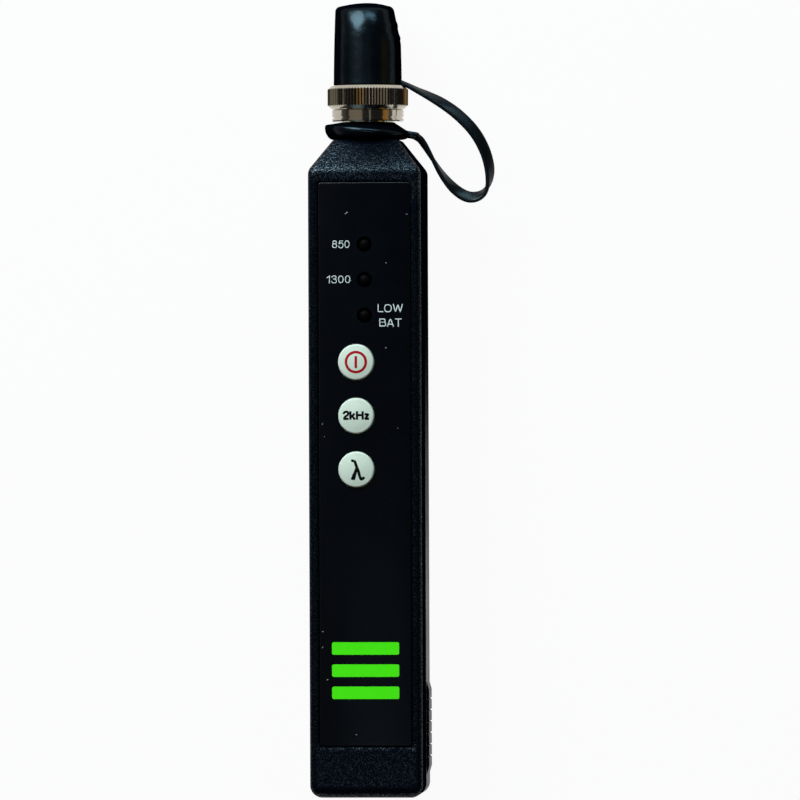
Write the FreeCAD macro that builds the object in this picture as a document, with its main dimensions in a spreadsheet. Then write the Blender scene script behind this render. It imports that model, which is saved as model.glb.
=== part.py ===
"""Pocket optical light source for fibre testing, modelled piece by piece in millimetres.

The instrument lies on its back. Z rises out of the front face, Y runs along the case towards
the optical port and X is to the reader's right. The origin is the middle of the flat back.
"""
import FreeCAD, Part
import math
import os
import re
import Sketcher
from FreeCAD import Placement, Rotation, Vector

# Driving dimensions in millimetres and degrees
SIZES = {
    # Case shells
    "wall": 1.8,
    "shoulder_rise": 6.6,
    "end_corner_radius": 2.6,
    "edge_radius": 1.2,
    "bend_radius": 2.4,
    "cavity_margin": 1.5,
    "lip_thickness": 0.8,
    "lip_height": 1.2,
    "lip_gap": 0.15,
    # Front panel
    "panel_thickness": 0.7,
    "panel_recess": 0.65,
    "panel_gap": 0.25,
    "panel_side_margin": 2.2,
    "panel_top_margin": 9.1,
    "panel_bottom_margin": 10.8,
    "panel_corner_radius": 0.6,
    # Keys and their switches
    "key_radius": 3.75,
    "key_rise": 1.0,
    "key_round": 0.5,
    "key_dome": 0.35,
    "key_pitch": 11.15,
    "key_offset_x": -1.75,
    "key_first_drop": 31.05,
    "key_hole_gap": 0.2,
    "key_flange_step": 1.0,
    "key_flange_thickness": 0.8,
    "key_gap": 0.1,
    "switch_width": 6.0,
    "switch_body_height": 3.5,
    "switch_height": 5.0,
    "switch_floor": 0.3,
    "switch_leg_pitch": 4.5,
    "switch_leg_width": 0.7,
    "switch_leg_reach": 1.2,
    "switch_leg_thickness": 0.3,
    "plunger_radius": 1.75,
    "plunger_gap": 0.15,
    "plunger_lift": 1.2,
    # Lamps
    "lamp_radius": 1.5,
    "lamp_height": 5.3,
    "lamp_flange_step": 0.4,
    "lamp_flange_height": 1.0,
    "lamp_pitch": 7.37,
    "lamp_first_drop": 6.55,
    "lamp_hole_gap": 0.1,
    "lamp_sink": 0.15,
    "lamp_lead_width": 0.5,
    "lamp_lead_spread": 1.27,
    # Main board
    "board_thickness": 1.6,
    "board_tail": 8.65,
    "board_margin": 0.8,
    "board_gap": 1.3,
    "board_side_gap": 0.9,
    "board_notch_gap": 0.3,
    "post_radius": 2.0,
    "post_offset_x": 7.0,
    "post_drop": 3.6,
    "board_screw_radius": 0.75,
    "board_screw_length": 5.0,
    "board_screw_head_radius": 1.6,
    "board_screw_head_height": 1.2,
    "screw_hole_gap": 0.1,
    "chip_width": 6.0,
    "chip_length": 8.6,
    "chip_height": 1.6,
    "chip_offset_x": 3.6,
    "chip_drop": 14.0,
    "coil_radius": 3.0,
    "coil_waist": 0.6,
    "coil_height": 3.2,
    "coil_flange": 0.8,
    "coil_drop": 25.0,
    "capacitor_radius": 2.5,
    "capacitor_height": 5.5,
    "capacitor_drop": 36.0,
    # Case screws
    "boss_radius": 2.6,
    "boss_inset": 3.4,
    "boss_wall_gap": 0.1,
    "boss_lift": 0.9,
    "case_screw_radius": 1.0,
    "case_screw_length": 12.0,
    "case_screw_head_radius": 1.9,
    "case_screw_head_height": 1.4,
    "case_screw_depth": 2.2,
    "counterbore_gap": 0.2,
    # Battery box and cell
    "cell_radius": 7.1,
    "cell_length": 50.2,
    "cell_nub_radius": 2.75,
    "cell_nub_length": 1.0,
    "cell_edge_radius": 0.8,
    "cell_room": 0.4,
    "cell_drop": 0.3,
    "box_wall": 1.2,
    "box_floor_gap": 1.6,
    "box_end_gap": 0.3,
    "saddle_gap": 0.2,
    "saddle_inset": 14.0,
    "side_channel": 1.25,
    "foot_height": 1.2,
    "foot_gap": 0.3,
    "contact_thickness": 0.4,
    "contact_width": 7.0,
    "contact_half_height": 4.6,
    "spring_depth": 3.7,
    "spring_pad_half": 1.5,
    "spring_fold": 1.0,
    "tail_width": 3.0,
    "tail_lap": 2.0,
    "tail_gap": 0.2,
    "lead_radius": 0.5,
    "lead_gap": 0.3,
    "lead_hole_gap": 0.6,
    "lead_run": 1.6,
    "lead_start_x": 2.8,
    "lead_end_x": 3.2,
    "lead_end_lap": 3.5,
    "lead_end_drop": 1.2,
    # Battery door
    "door_gap": 0.25,
    "door_seam": 0.08,
    "door_lap": 0.3,
    "rail_gap": 0.3,
    "rail_height": 1.2,
    "tongue_width": 9.0,
    "tongue_reach": 3.0,
    "tongue_thickness": 1.0,
    "tongue_gap": 0.2,
    "grip_rise": 0.5,
    "grip_length": 16.0,
    "grip_ramp": 1.7,
    "grip_from_end": 6.1,
    "grip_low": 2.2,
    "grip_height": 7.2,
    "grip_groove_pitch": 2.4,
    "grip_groove_width": 0.8,
    "grip_groove_depth": 0.35,
    "grip_groove_count": 6,
    # Optical port
    "can_radius": 2.35,
    "can_length": 4.0,
    "can_flange_step": 0.35,
    "can_flange_thickness": 1.0,
    "can_gap": 0.1,
    "emitter_lead_radius": 0.225,
    "emitter_lead_offset": 1.475,
    "emitter_lead_spread": 1.27,
    "emitter_lead_lap": 2.0,
    "shank_wall": 1.05,
    "shank_tail": 0.9,
    "shank_hole_gap": 0.2,
    "washer_thickness": 0.4,
    "nut_wall": 1.5,
    "nut_height": 3.0,
    "nut_pocket_gap": 0.3,
    "neck_step": 1.7,
    "top_margin": 1.5,
    "light_bore_radius": 0.8,
    "flange_step": 1.5,
    "flange_height": 2.5,
    "flange_groove_depth": 0.3,
    "flange_groove_width": 0.35,
    "flange_groove_lift": 0.6,
    "flange_edge": 0.2,
    "boss_height": 2.4,
    # Bayonet adapter and alignment sleeve
    "barrel_radius": 4.2,
    "barrel_edge": 0.4,
    "adapter_step": 1.55,
    "adapter_flange": 1.0,
    "adapter_edge_gap": 0.25,
    "lug_radius": 0.6,
    "lug_height": 0.9,
    "lug_drop": 4.0,
    "ferrule_radius": 1.25,
    "sleeve_wall": 0.35,
    "sleeve_length": 11.3,
    "sleeve_end_gap": 0.1,
    "sleeve_gap": 0.2,
    "sleeve_side_gap": 0.05,
    "sleeve_slit": 0.3,
    "nose_lip": 1.2,
    "nose_lip_gap": 0.2,
    # Coupling ring
    "ring_wall": 2.45,
    "ring_lip": 1.4,
    "ring_gap": 0.15,
    "ring_run_gap": 0.1,
    "ring_hole_gap": 0.3,
    "ring_chamfer": 0.8,
    "knurl_count": 80,
    "knurl_depth": 0.3,
    # Dust cap
    "cap_clearance": 0.35,
    "cap_wall": 1.55,
    "cap_rim_step": 0.45,
    "cap_rim_height": 0.3,
    "cap_flare": 1.3,
    "cap_gap": 0.2,
    "cap_headroom": 4.9,
    "cap_roof": 2.2,
    "cap_taper": 0.35,
    "cap_side_radius": 200.0,
    "cap_crown_round": 0.5,
    "cap_dome": 0.9,
    "cap_lug_root": 1.9,
    "cap_lug_reach": 2.2,
    "cap_lug_end": 0.9,
    "cap_lug_width": 2.8,
    # Tether
    "tether_thickness": 2.5,
    "tether_inner_gap": 0.5,
    "tether_band": 3.3,
    "tether_tilt": 4.0,
    "tether_heading": 60.0,
    "tether_gap": 0.13,
    "tether_tab_reach": 1.6,
    "tether_tab_width": 3.0,
    "strap_width": 2.6,
    "strap_thickness": 0.9,
    "strap_roll": 25.0,
    "strap_end_gap": 0.6,
}

# Places and sizes worked out from the driving dimensions
PLACES = {
    "half_width": "wall + side_channel + box_wall + cell_room + cell_radius",
    "front_stack": "switch_height + key_flange_thickness + key_gap + wall",
    "half_depth": "emitter_lead_offset + emitter_lead_radius + board_thickness + front_stack",
    "case_depth": "2 * half_depth",
    "axis_z": "half_depth",
    "battery_run": "box_end_gap + box_wall + spring_depth + cell_length + contact_thickness + box_wall",
    "board_length": "key_first_drop + 2 * key_pitch + board_tail",
    "head_length": "shoulder_rise + cavity_margin + boss_inset + boss_radius + board_gap",
    "case_length": "wall + battery_run + board_margin + board_length + head_length",
    "top_y": "case_length / 2",
    "bottom_y": "0 - case_length / 2",
    "shoulder_y": "top_y - shoulder_rise",
    "cavity_top_y": "shoulder_y - cavity_margin",
    "seat_y": "top_y - wall",
    "inner_half": "half_width - wall",
    "inner_bottom_y": "bottom_y + wall",
    "inner_front_z": "case_depth - wall",
    "lip_low_y": "bottom_y + end_corner_radius + wall",
    "panel_half": "half_width - panel_side_margin",
    "panel_top_y": "top_y - panel_top_margin",
    "panel_low_y": "bottom_y + panel_bottom_margin",
    "panel_floor_z": "case_depth - panel_recess",
    "panel_top_z": "panel_floor_z + panel_thickness",
    "board_top_z": "axis_z + emitter_lead_offset + emitter_lead_radius + board_thickness",
    "board_under_z": "board_top_z - board_thickness",
    "board_half": "inner_half - board_side_gap",
    "board_top_y": "top_y - head_length",
    "board_low_y": "board_top_y - board_length",
    "key_under_z": "board_top_z + switch_height",
    "key_top_z": "panel_top_z + key_rise",
    "key_first_y": "board_top_y - key_first_drop",
    "key_flange_radius": "key_radius + key_flange_step",
    "lamp_first_y": "board_top_y - lamp_first_drop",
    "lamp_top_z": "panel_top_z - lamp_sink",
    "lamp_low_z": "lamp_top_z - lamp_height",
    "boss_x": "inner_half - boss_radius - boss_wall_gap",
    "boss_high_y": "cavity_top_y - boss_inset",
    "boss_low_y": "bulkhead_y + boss_radius + boss_lift",
    "post_high_y": "board_top_y - post_drop",
    "post_low_y": "key_first_y - key_pitch - key_pitch / 2",
    "end_rib_y": "inner_bottom_y + box_end_gap",
    "spring_y": "end_rib_y + box_wall",
    "cell_low_y": "spring_y + spring_depth",
    "cell_top_y": "cell_low_y + cell_length",
    "bulkhead_y": "cell_top_y + contact_thickness + box_wall",
    "box_half": "cell_radius + cell_room",
    "box_outer": "box_half + box_wall",
    "box_low_z": "wall + box_floor_gap",
    "cell_axis_z": "tongue_z + tongue_thickness + cell_drop + cell_radius",
    "saddle_z": "cell_axis_z + cell_radius + saddle_gap",
    "lead_z": "cell_axis_z + cell_radius - lead_radius",
    "lead_reach": "cell_radius + lead_radius + lead_gap",
    "lead_x": "sqrt(lead_reach * lead_reach - (lead_z - cell_axis_z) * (lead_z - cell_axis_z))",
    "lead_start_z": "cell_axis_z + contact_half_height - 2 * lead_radius",
    "lead_turn_y": "spring_y + contact_thickness + lead_run",
    "lead_end_y": "board_low_y + lead_end_lap",
    "rail_z": "box_low_z + foot_height + rail_gap",
    "door_top_y": "bulkhead_y - door_lap",
    "tongue_z": "wall + tongue_gap",
    "grip_low_y": "bottom_y + grip_from_end",
    "grip_top_y": "grip_low_y + grip_length",
    "shank_bore": "can_radius + can_gap",
    "shank_radius": "shank_bore + shank_wall",
    "shank_low_y": "seat_y - washer_thickness - nut_height - shank_tail",
    "nut_corner": "(shank_radius + nut_wall) / cos(30)",
    "nut_pocket": "nut_corner + nut_pocket_gap",
    "neck_radius": "shank_radius + neck_step",
    "top_half": "neck_radius + top_margin",
    "tether_room": "flange_radius * sin(tether_tilt) + tether_gap",
    "neck_length": "tether_thickness + 2 * tether_room",
    "flange_y": "top_y + neck_length",
    "boss_y": "flange_y + flange_height",
    "boss_top_y": "boss_y + boss_height",
    "adapter_radius": "barrel_radius + adapter_step",
    "port_boss_radius": "adapter_radius + adapter_edge_gap",
    "flange_radius": "port_boss_radius + flange_step",
    "adapter_top_y": "boss_top_y + adapter_flange",
    "sleeve_low_y": "boss_top_y + sleeve_end_gap",
    "sleeve_top_y": "sleeve_low_y + sleeve_length",
    "sleeve_radius": "ferrule_radius + sleeve_wall",
    "nose_y": "sleeve_top_y + sleeve_gap + nose_lip",
    "lug_reach": "barrel_radius + lug_height",
    "ring_low_y": "boss_y + ring_gap",
    "ring_seat_y": "adapter_top_y + ring_gap",
    "ring_top_y": "ring_seat_y + ring_lip",
    "ring_radius": "port_boss_radius + ring_wall",
    "cap_low_y": "ring_top_y + cap_gap",
    "cap_bore": "lug_reach + cap_clearance",
    "cap_radius": "cap_bore + cap_wall",
    "cap_roof_y": "nose_y + cap_headroom",
    "cap_top_y": "cap_roof_y + cap_roof",
    "cap_crown": "cap_radius - cap_taper",
    "cap_edge_y": "cap_top_y - cap_dome",
    "cap_lug_x": "cap_radius + cap_lug_reach",
    "tether_y": "top_y + neck_length / 2",
    "tether_inner": "neck_radius + tether_inner_gap",
    "tether_outer": "tether_inner + tether_band",
    "tether_tab_x": "tether_outer + tether_tab_reach",
}

KEYS = ("power", "tone", "wavelength")
LAMPS = ("850", "1300", "low_battery")
CASE_BOSSES = (("boss_x", "boss_high_y"), ("boss_x", "boss_low_y"),
               ("0 - boss_x", "boss_high_y"), ("0 - boss_x", "boss_low_y"))
BOARD_POSTS = (("post_offset_x", "post_high_y"), ("0 - post_offset_x", "post_high_y"),
               ("post_offset_x", "post_low_y"))
# How far a cut runs past the solid, and how close two lengths count as the same
OVERRUN = 1.0
NEARNESS = 0.01

# The strap's route beyond its two ends: offsets in X and Y from the cap's lug, then from the
# tether's tab, in the order in which the strap runs
STRAP_FROM_LUG = ((1.9, -1.5), (4.3, -3.6), (7.0, -5.4), (9.7, -7.7), (12.4, -10.8),
                  (14.6, -14.8), (15.6, -19.3), (14.5, -23.2))
STRAP_FROM_TAB = ((11.7, -14.3), (8.7, -12.6), (5.9, -9.3), (3.7, -5.4), (1.6, -2.2))
# The battery lead's route from the spring, over the cell and through the bulkhead to the board
LEAD_ROUTE = (("0 - lead_start_x", "spring_y + contact_thickness", "lead_start_z"),
              ("0 - lead_start_x", "lead_turn_y", "lead_start_z"), ("0 - lead_x", "lead_turn_y", "lead_z"),
              ("0 - lead_x", "bulkhead_y", "lead_z"),
              ("0 - lead_end_x", "lead_end_y", "board_top_z + lead_end_drop"),
              ("0 - lead_end_x", "lead_end_y", "board_top_z"))
# Share of the shorter run beside a corner of a route that the corner's arc takes
ARC_SHARE = 0.45

doc = FreeCAD.newDocument("light_source")
sheet = doc.addObject("Spreadsheet::Sheet", "dims")
for row, (alias, size) in enumerate(SIZES.items(), start=1):
    sheet.set(f"A{row}", alias)
    sheet.set(f"B{row}", str(size))
    sheet.setAlias(f"B{row}", alias)
doc.recompute()

sub_parts = {}


# Expressions

def expand(text):
    """Write a formula of named sizes and places as an expression on the sheet."""
    def swap(match):
        name = match.group(0)
        if name in SIZES:
            return f"dims.{name}"
        if name in PLACES:
            return f"({expand(PLACES[name])})"
        return name
    return re.sub(r"[a-z][a-z_0-9]*", swap, str(text))


def value(text):
    """Work out a formula of named sizes and places."""
    return float(sheet.evalExpression(expand(text)))


def bind(item, **formulas):
    """Tie properties of an object to formulas; a double underscore stands for a dot."""
    for prop, formula in formulas.items():
        item.setExpression(prop.replace("__", "."), expand(formula))
    return item


def place(item, x="0", y="0", z="0"):
    """Tie an object's position to three formulas."""
    return bind(item, Placement__Base__x=x, Placement__Base__y=y, Placement__Base__z=z)


def keep(label, item):
    """List an object as a finished sub-part under its own label."""
    item.Label = label
    sub_parts[label] = item
    return item


# Sketches and features of a body

def new_body(label):
    """Start an empty body."""
    return keep(label, doc.addObject("PartDesign::Body", label))


def sketch_on(body, name, role, offset="0"):
    """Put a sketch on one of the body's origin planes, moved along that plane's normal."""
    plane = next(item for item in body.Origin.OriginFeatures if item.Role == role)
    sketch = body.newObject("Sketcher::SketchObject", f"{body.Name}_{name}")
    sketch.AttachmentSupport = [(plane, "")]
    sketch.MapMode = "FlatFace"
    return bind(sketch, AttachmentOffset__Base__z=offset)


def arc_between(start, end, radius):
    """Give the minor arc from start to end; a negative radius turns clockwise."""
    chord = end - start
    rise = math.sqrt(max(radius * radius - chord.Length ** 2 / 4, 0))
    left = Vector(-chord.y, chord.x, 0).normalize()
    centre = (start + end) / 2 + left * math.copysign(rise, radius)
    first, last = (start, end) if radius > 0 else (end, start)
    angles = [math.atan2(point.y - centre.y, point.x - centre.x) for point in (first, last)]
    return Part.ArcOfCircle(Part.Circle(centre, Vector(0, 0, 1), abs(radius)), *angles)


def outline(sketch, corners):
    """Draw a closed outline; a corner with a third formula starts an arc of that radius."""
    first = sketch.GeometryCount
    count = len(corners)
    points = [Vector(value(corner[0]), value(corner[1]), 0) for corner in corners]
    ends = []
    for index, corner in enumerate(corners):
        here, there = points[index], points[(index + 1) % count]
        radius = value(corner[2]) if len(corner) == 3 else 0
        if radius:
            sketch.addGeometry(arc_between(here, there, radius))
        else:
            sketch.addGeometry(Part.LineSegment(here, there))
        ends.append((2, 1) if radius < 0 else (1, 2))
    for index in range(count):
        follower = (index + 1) % count
        sketch.addConstraint(Sketcher.Constraint(
            "Coincident", first + index, ends[index][1], first + follower, ends[follower][0]))
    for index, corner in enumerate(corners):
        for kind, formula, size in zip(("DistanceX", "DistanceY"), corner, points[index]):
            number = sketch.addConstraint(Sketcher.Constraint(
                kind, -1, 1, first + index, ends[index][0], size))
            sketch.setExpression(f"Constraints[{number}]", expand(formula))
        if len(corner) == 3:
            number = sketch.addConstraint(Sketcher.Constraint(
                "Radius", first + index, abs(value(corner[2]))))
            sketch.setExpression(f"Constraints[{number}]", f"abs({expand(corner[2])})")
    return sketch


def rectangle(sketch, x_low, x_high, y_low, y_high):
    """Draw a rectangle between four formulas."""
    return outline(sketch, [(x_low, y_low), (x_high, y_low), (x_high, y_high), (x_low, y_high)])


def circle(sketch, x, y, radius):
    """Draw a circle."""
    middle = Vector(value(x), value(y), 0)
    number = sketch.addGeometry(Part.Circle(middle, Vector(0, 0, 1), value(radius)))
    for kind, formula in (("DistanceX", x), ("DistanceY", y)):
        place_number = sketch.addConstraint(Sketcher.Constraint(kind, -1, 1, number, 3, value(formula)))
        sketch.setExpression(f"Constraints[{place_number}]", expand(formula))
    size_number = sketch.addConstraint(Sketcher.Constraint("Radius", number, value(radius)))
    sketch.setExpression(f"Constraints[{size_number}]", expand(radius))
    return sketch


def circles(sketch, centres, radius):
    """Draw equal circles round several centres."""
    for x, y in centres:
        circle(sketch, x, y, radius)
    return sketch


def settle(feature):
    """Recompute the document and see that a feature was built."""
    doc.recompute()
    if "Invalid" in feature.State or "Error" in feature.State:
        raise RuntimeError(f"{feature.Name} did not build")
    return feature


def pad(sketch, length, flip=False, both_ways=False):
    """Pad a sketch along its normal, against it, or half each way."""
    body = sketch.getParentGeoFeatureGroup()
    feature = body.newObject("PartDesign::Pad", f"{sketch.Name}_pad")
    feature.Profile = sketch
    feature.Reversed = flip
    feature.Midplane = both_ways
    bind(feature, Length=length)
    return settle(feature)


def pocket(sketch, length, flip=False, both_ways=False):
    """Cut a sketch against its normal, along it, or half each way, and see that it cuts."""
    body = sketch.getParentGeoFeatureGroup()
    before = body.Shape.Volume
    feature = body.newObject("PartDesign::Pocket", f"{sketch.Name}_cut")
    feature.Profile = sketch
    feature.Reversed = flip
    feature.Midplane = both_ways
    bind(feature, Length=length)
    settle(feature)
    if not body.Shape.Volume < before:
        raise RuntimeError(f"{feature.Name} cuts nothing")
    return feature


def revolve(sketch):
    """Turn a sketch once round its vertical axis."""
    body = sketch.getParentGeoFeatureGroup()
    feature = body.newObject("PartDesign::Revolution", f"{sketch.Name}_turned")
    feature.Profile = sketch
    feature.ReferenceAxis = (sketch, ["V_Axis"])
    feature.Angle = 360
    return settle(feature)


def repeat_down(feature, sketch, pitch, count):
    """Repeat a feature along its sketch's vertical axis, downwards."""
    body = sketch.getParentGeoFeatureGroup()
    pattern = body.newObject("PartDesign::LinearPattern", f"{feature.Name}_row")
    pattern.Originals = [feature]
    pattern.Direction = (sketch, ["V_Axis"])
    pattern.Reversed = True
    bind(pattern, Length=f"({pitch}) * ({count} - 1)", Occurrences=count)
    body.Tip = pattern
    return settle(pattern)


def round_edges(feature, radius, chosen):
    """Fillet the edges of a feature that a test picks."""
    body = feature.getParentGeoFeatureGroup()
    names = [f"Edge{index}" for index, edge in enumerate(feature.Shape.Edges, start=1) if chosen(edge)]
    fillet = body.newObject("PartDesign::Fillet", f"{feature.Name}_round")
    fillet.Base = (feature, names)
    bind(fillet, Radius=radius)
    return settle(fillet)


# Primitives

def box(name, x_low, x_high, y_low, y_high, z_low, z_high):
    """Make a box between six formulas."""
    item = doc.addObject("Part::Box", name)
    bind(item, Length=f"({x_high}) - ({x_low})", Width=f"({y_high}) - ({y_low})",
         Height=f"({z_high}) - ({z_low})")
    return place(item, x_low, y_low, z_low)


def cylinder(name, radius, height, x="0", y="0", z="0", along="z"):
    """Make a cylinder along +Z, +Y or +X from the given foot."""
    item = doc.addObject("Part::Cylinder", name)
    turns = {"z": Rotation(), "y": Rotation(Vector(1, 0, 0), -90), "x": Rotation(Vector(0, 1, 0), 90)}
    item.Placement = Placement(Vector(), turns[along])
    bind(item, Radius=radius, Height=height)
    return place(item, x, y, z)


def fuse(name, items):
    """Join solids into one."""
    joined = doc.addObject("Part::MultiFuse", name)
    joined.Shapes = items
    joined.Refine = True
    return joined


def cut(name, base, tools):
    """Cut solids from a base."""
    item = doc.addObject("Part::Cut", name)
    item.Base = base
    item.Tool = tools[0] if len(tools) == 1 else fuse(f"{name}_tools", tools)
    return item


def group(name, items):
    """Keep separate solids together in one sub-part."""
    item = doc.addObject("Part::Compound", name)
    item.Links = items
    return item


# Case

def near(size, target):
    """Tell whether two lengths are the same."""
    return abs(size - target) < NEARNESS


def upright_at(x, y):
    """Give a test for edges along Z at a distance x from the middle and at height y."""
    def chosen(edge):
        ends = [vertex.Point for vertex in edge.Vertexes]
        return all(near(abs(end.x), value(x)) and near(end.y, value(y)) for end in ends)
    return chosen


def case_blank(body, low_y, side):
    """Make the solid outer form of one half of the case; side is 1 for front and -1 for rear."""
    face_z = f"axis_z + {side} * half_depth"
    ridge_z = f"axis_z + {side} * top_half"
    plan = sketch_on(body, "plan", "XY_Plane", "axis_z")
    outline(plan, [
        ("0 - half_width", low_y), ("half_width", low_y), ("half_width", "shoulder_y"),
        ("top_half", "top_y"), ("0 - top_half", "top_y"), ("0 - half_width", "shoulder_y")])
    pad(plan, "half_depth", flip=side < 0)
    slope = sketch_on(body, "slope", "YZ_Plane")
    beyond_y = f"top_y + {OVERRUN}"
    beyond_z = f"{face_z} + {side * OVERRUN}"
    outline(slope, [
        ("shoulder_y", face_z), ("top_y", ridge_z), (beyond_y, ridge_z),
        (beyond_y, beyond_z), ("shoulder_y", beyond_z)])
    blank = pocket(slope, f"2 * half_width + {OVERRUN}", both_ways=True)
    if side > 0:
        blank = round_edges(blank, "end_corner_radius", upright_at("half_width", low_y))
    face = value(face_z)
    bend_y = value("shoulder_y")
    blank = round_edges(blank, "bend_radius", lambda edge: all(
        near(end.Y, bend_y) and near(end.Z, face) for end in edge.Vertexes))
    blank = round_edges(blank, "bend_radius", upright_at("half_width", "shoulder_y"))
    on_ridge = upright_at("top_half", "top_y")
    middle = value("axis_z")
    face_reach = value("top_half") - NEARNESS
    open_y = value(low_y) if side < 0 else None

    def on_face(edge):
        """Pick edges that lie wholly on the face side and not on an open end."""
        ends = [vertex.Point for vertex in edge.Vertexes]
        if open_y is not None and all(near(end.y, open_y) for end in ends):
            return False
        return all(abs(end.z - middle) > face_reach for end in ends)

    round_edges(blank, "edge_radius", lambda edge: on_face(edge) or on_ridge(edge))


def port_holes(body):
    """Cut the hole for the port's shank and the pocket for its nut, along the case."""
    nut_room = sketch_on(body, "nut_room", "XZ_Plane", f"{OVERRUN} - cavity_top_y")
    circle(nut_room, "0", "axis_z", "nut_pocket")
    pocket(nut_room, f"seat_y - cavity_top_y + {OVERRUN}")
    shank_hole = sketch_on(body, "shank_hole", "XZ_Plane", f"{OVERRUN} - seat_y")
    circle(shank_hole, "0", "axis_z", "shank_radius + shank_hole_gap")
    pocket(shank_hole, f"wall + {2 * OVERRUN}")


def front_shell():
    """Make the front shell with its panel recess, holes, battery box, bosses and lips."""
    body = new_body("front_shell")
    case_blank(body, "bottom_y", 1)

    cavity = sketch_on(body, "cavity", "XY_Plane", "axis_z")
    rectangle(cavity, "0 - inner_half", "inner_half", "inner_bottom_y", "cavity_top_y")
    pocket(cavity, "half_depth - wall", flip=True)
    port_holes(body)

    recess = sketch_on(body, "recess", "XY_Plane", "case_depth")
    rectangle(recess, "0 - panel_half - panel_gap", "panel_half + panel_gap",
              "panel_low_y - panel_gap", "panel_top_y + panel_gap")
    pocket(recess, "panel_recess")

    key_hole = sketch_on(body, "key_hole", "XY_Plane", "case_depth")
    circle(key_hole, "key_offset_x", "key_first_y", "key_radius + key_hole_gap")
    repeat_down(pocket(key_hole, f"wall + {OVERRUN}"), key_hole, "key_pitch", len(KEYS))
    lamp_hole = sketch_on(body, "lamp_hole", "XY_Plane", "case_depth")
    circle(lamp_hole, "0", "lamp_first_y", "lamp_radius + lamp_hole_gap")
    repeat_down(pocket(lamp_hole, f"wall + {OVERRUN}"), lamp_hole, "lamp_pitch", len(LAMPS))

    bosses = sketch_on(body, "bosses", "XY_Plane", "axis_z")
    circles(bosses, CASE_BOSSES, "boss_radius")
    pad(bosses, "half_depth - wall + panel_recess / 2")
    pilots = sketch_on(body, "pilots", "XY_Plane", "axis_z")
    circles(pilots, CASE_BOSSES, "case_screw_radius + screw_hole_gap")
    pocket(pilots, f"case_screw_depth + case_screw_length - axis_z + {OVERRUN}", flip=True)

    posts = sketch_on(body, "posts", "XY_Plane", "board_top_z")
    circles(posts, BOARD_POSTS, "post_radius")
    pad(posts, "inner_front_z - board_top_z + panel_recess / 2")
    post_holes = sketch_on(body, "post_holes", "XY_Plane", "board_top_z")
    circles(post_holes, BOARD_POSTS, "board_screw_radius + screw_hole_gap")
    pocket(post_holes, "board_screw_length - board_thickness + screw_hole_gap", flip=True)

    walls = sketch_on(body, "box_walls", "XY_Plane", "box_low_z")
    rectangle(walls, "0 - box_outer", "box_outer", "end_rib_y", "bulkhead_y")
    rectangle(walls, "0 - box_half", "box_half", "spring_y", "bulkhead_y - box_wall")
    pad(walls, "inner_front_z - box_low_z + panel_recess / 2")
    passages = sketch_on(body, "passages", "XZ_Plane", f"{OVERRUN} - (bulkhead_y - box_wall)")
    rectangle(passages, "0 - tail_width / 2 - tail_gap", "tail_width / 2 + tail_gap",
              "board_top_z - tail_gap", "board_top_z + contact_thickness + tail_gap")
    circle(passages, "0 - lead_x", "lead_z", "lead_radius + lead_hole_gap")
    pocket(passages, f"box_wall + {2 * OVERRUN}")
    feet = sketch_on(body, "feet", "XY_Plane", "box_low_z")
    for side in (1, -1):
        rectangle(feet, f"{side} * box_half", f"{side} * (inner_half - foot_gap)",
                  "end_rib_y", "bulkhead_y")
    pad(feet, "foot_height")
    saddles = sketch_on(body, "saddles", "XY_Plane", "saddle_z")
    for y in ("cell_low_y + saddle_inset", "cell_top_y - saddle_inset"):
        rectangle(saddles, "0 - box_half - box_wall / 2", "box_half + box_wall / 2",
                  f"{y} - box_wall / 2", f"{y} + box_wall / 2")
    pad(saddles, "inner_front_z - saddle_z + panel_recess / 2")

    lips = sketch_on(body, "lips", "XY_Plane", "axis_z")
    for side in (1, -1):
        rectangle(lips, f"{side} * inner_half", f"{side} * (inner_half + lip_thickness)",
                  "lip_low_y", "cavity_top_y")
    pad(lips, "lip_height", flip=True)


def rear_shell():
    """Make the rear shell, which covers the electronics and ends at the battery door."""
    body = new_body("rear_shell")
    low_y = "door_top_y + door_gap"
    case_blank(body, low_y, -1)
    cavity = sketch_on(body, "cavity", "XY_Plane", "axis_z")
    rectangle(cavity, "0 - inner_half", "inner_half", f"{low_y} - {OVERRUN}", "cavity_top_y")
    pocket(cavity, "half_depth - wall")
    rebates = sketch_on(body, "rebates", "XY_Plane", "axis_z")
    for side in (1, -1):
        rectangle(rebates, f"{side} * (inner_half - lip_gap)",
                  f"{side} * (inner_half + lip_thickness + lip_gap)",
                  f"{low_y} - {OVERRUN}", "cavity_top_y + lip_gap")
    pocket(rebates, "lip_height + lip_gap")
    port_holes(body)
    bosses = sketch_on(body, "bosses", "XY_Plane", "axis_z")
    circles(bosses, CASE_BOSSES, "boss_radius")
    pad(bosses, "half_depth - wall / 2", flip=True)
    holes = sketch_on(body, "screw_holes", "XY_Plane")
    circles(holes, CASE_BOSSES, "case_screw_radius + counterbore_gap")
    pocket(holes, f"half_depth + {OVERRUN}", flip=True)
    counterbores = sketch_on(body, "counterbores", "XY_Plane")
    circles(counterbores, CASE_BOSSES, "case_screw_head_radius + counterbore_gap")
    pocket(counterbores, "case_screw_depth", flip=True)


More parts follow.
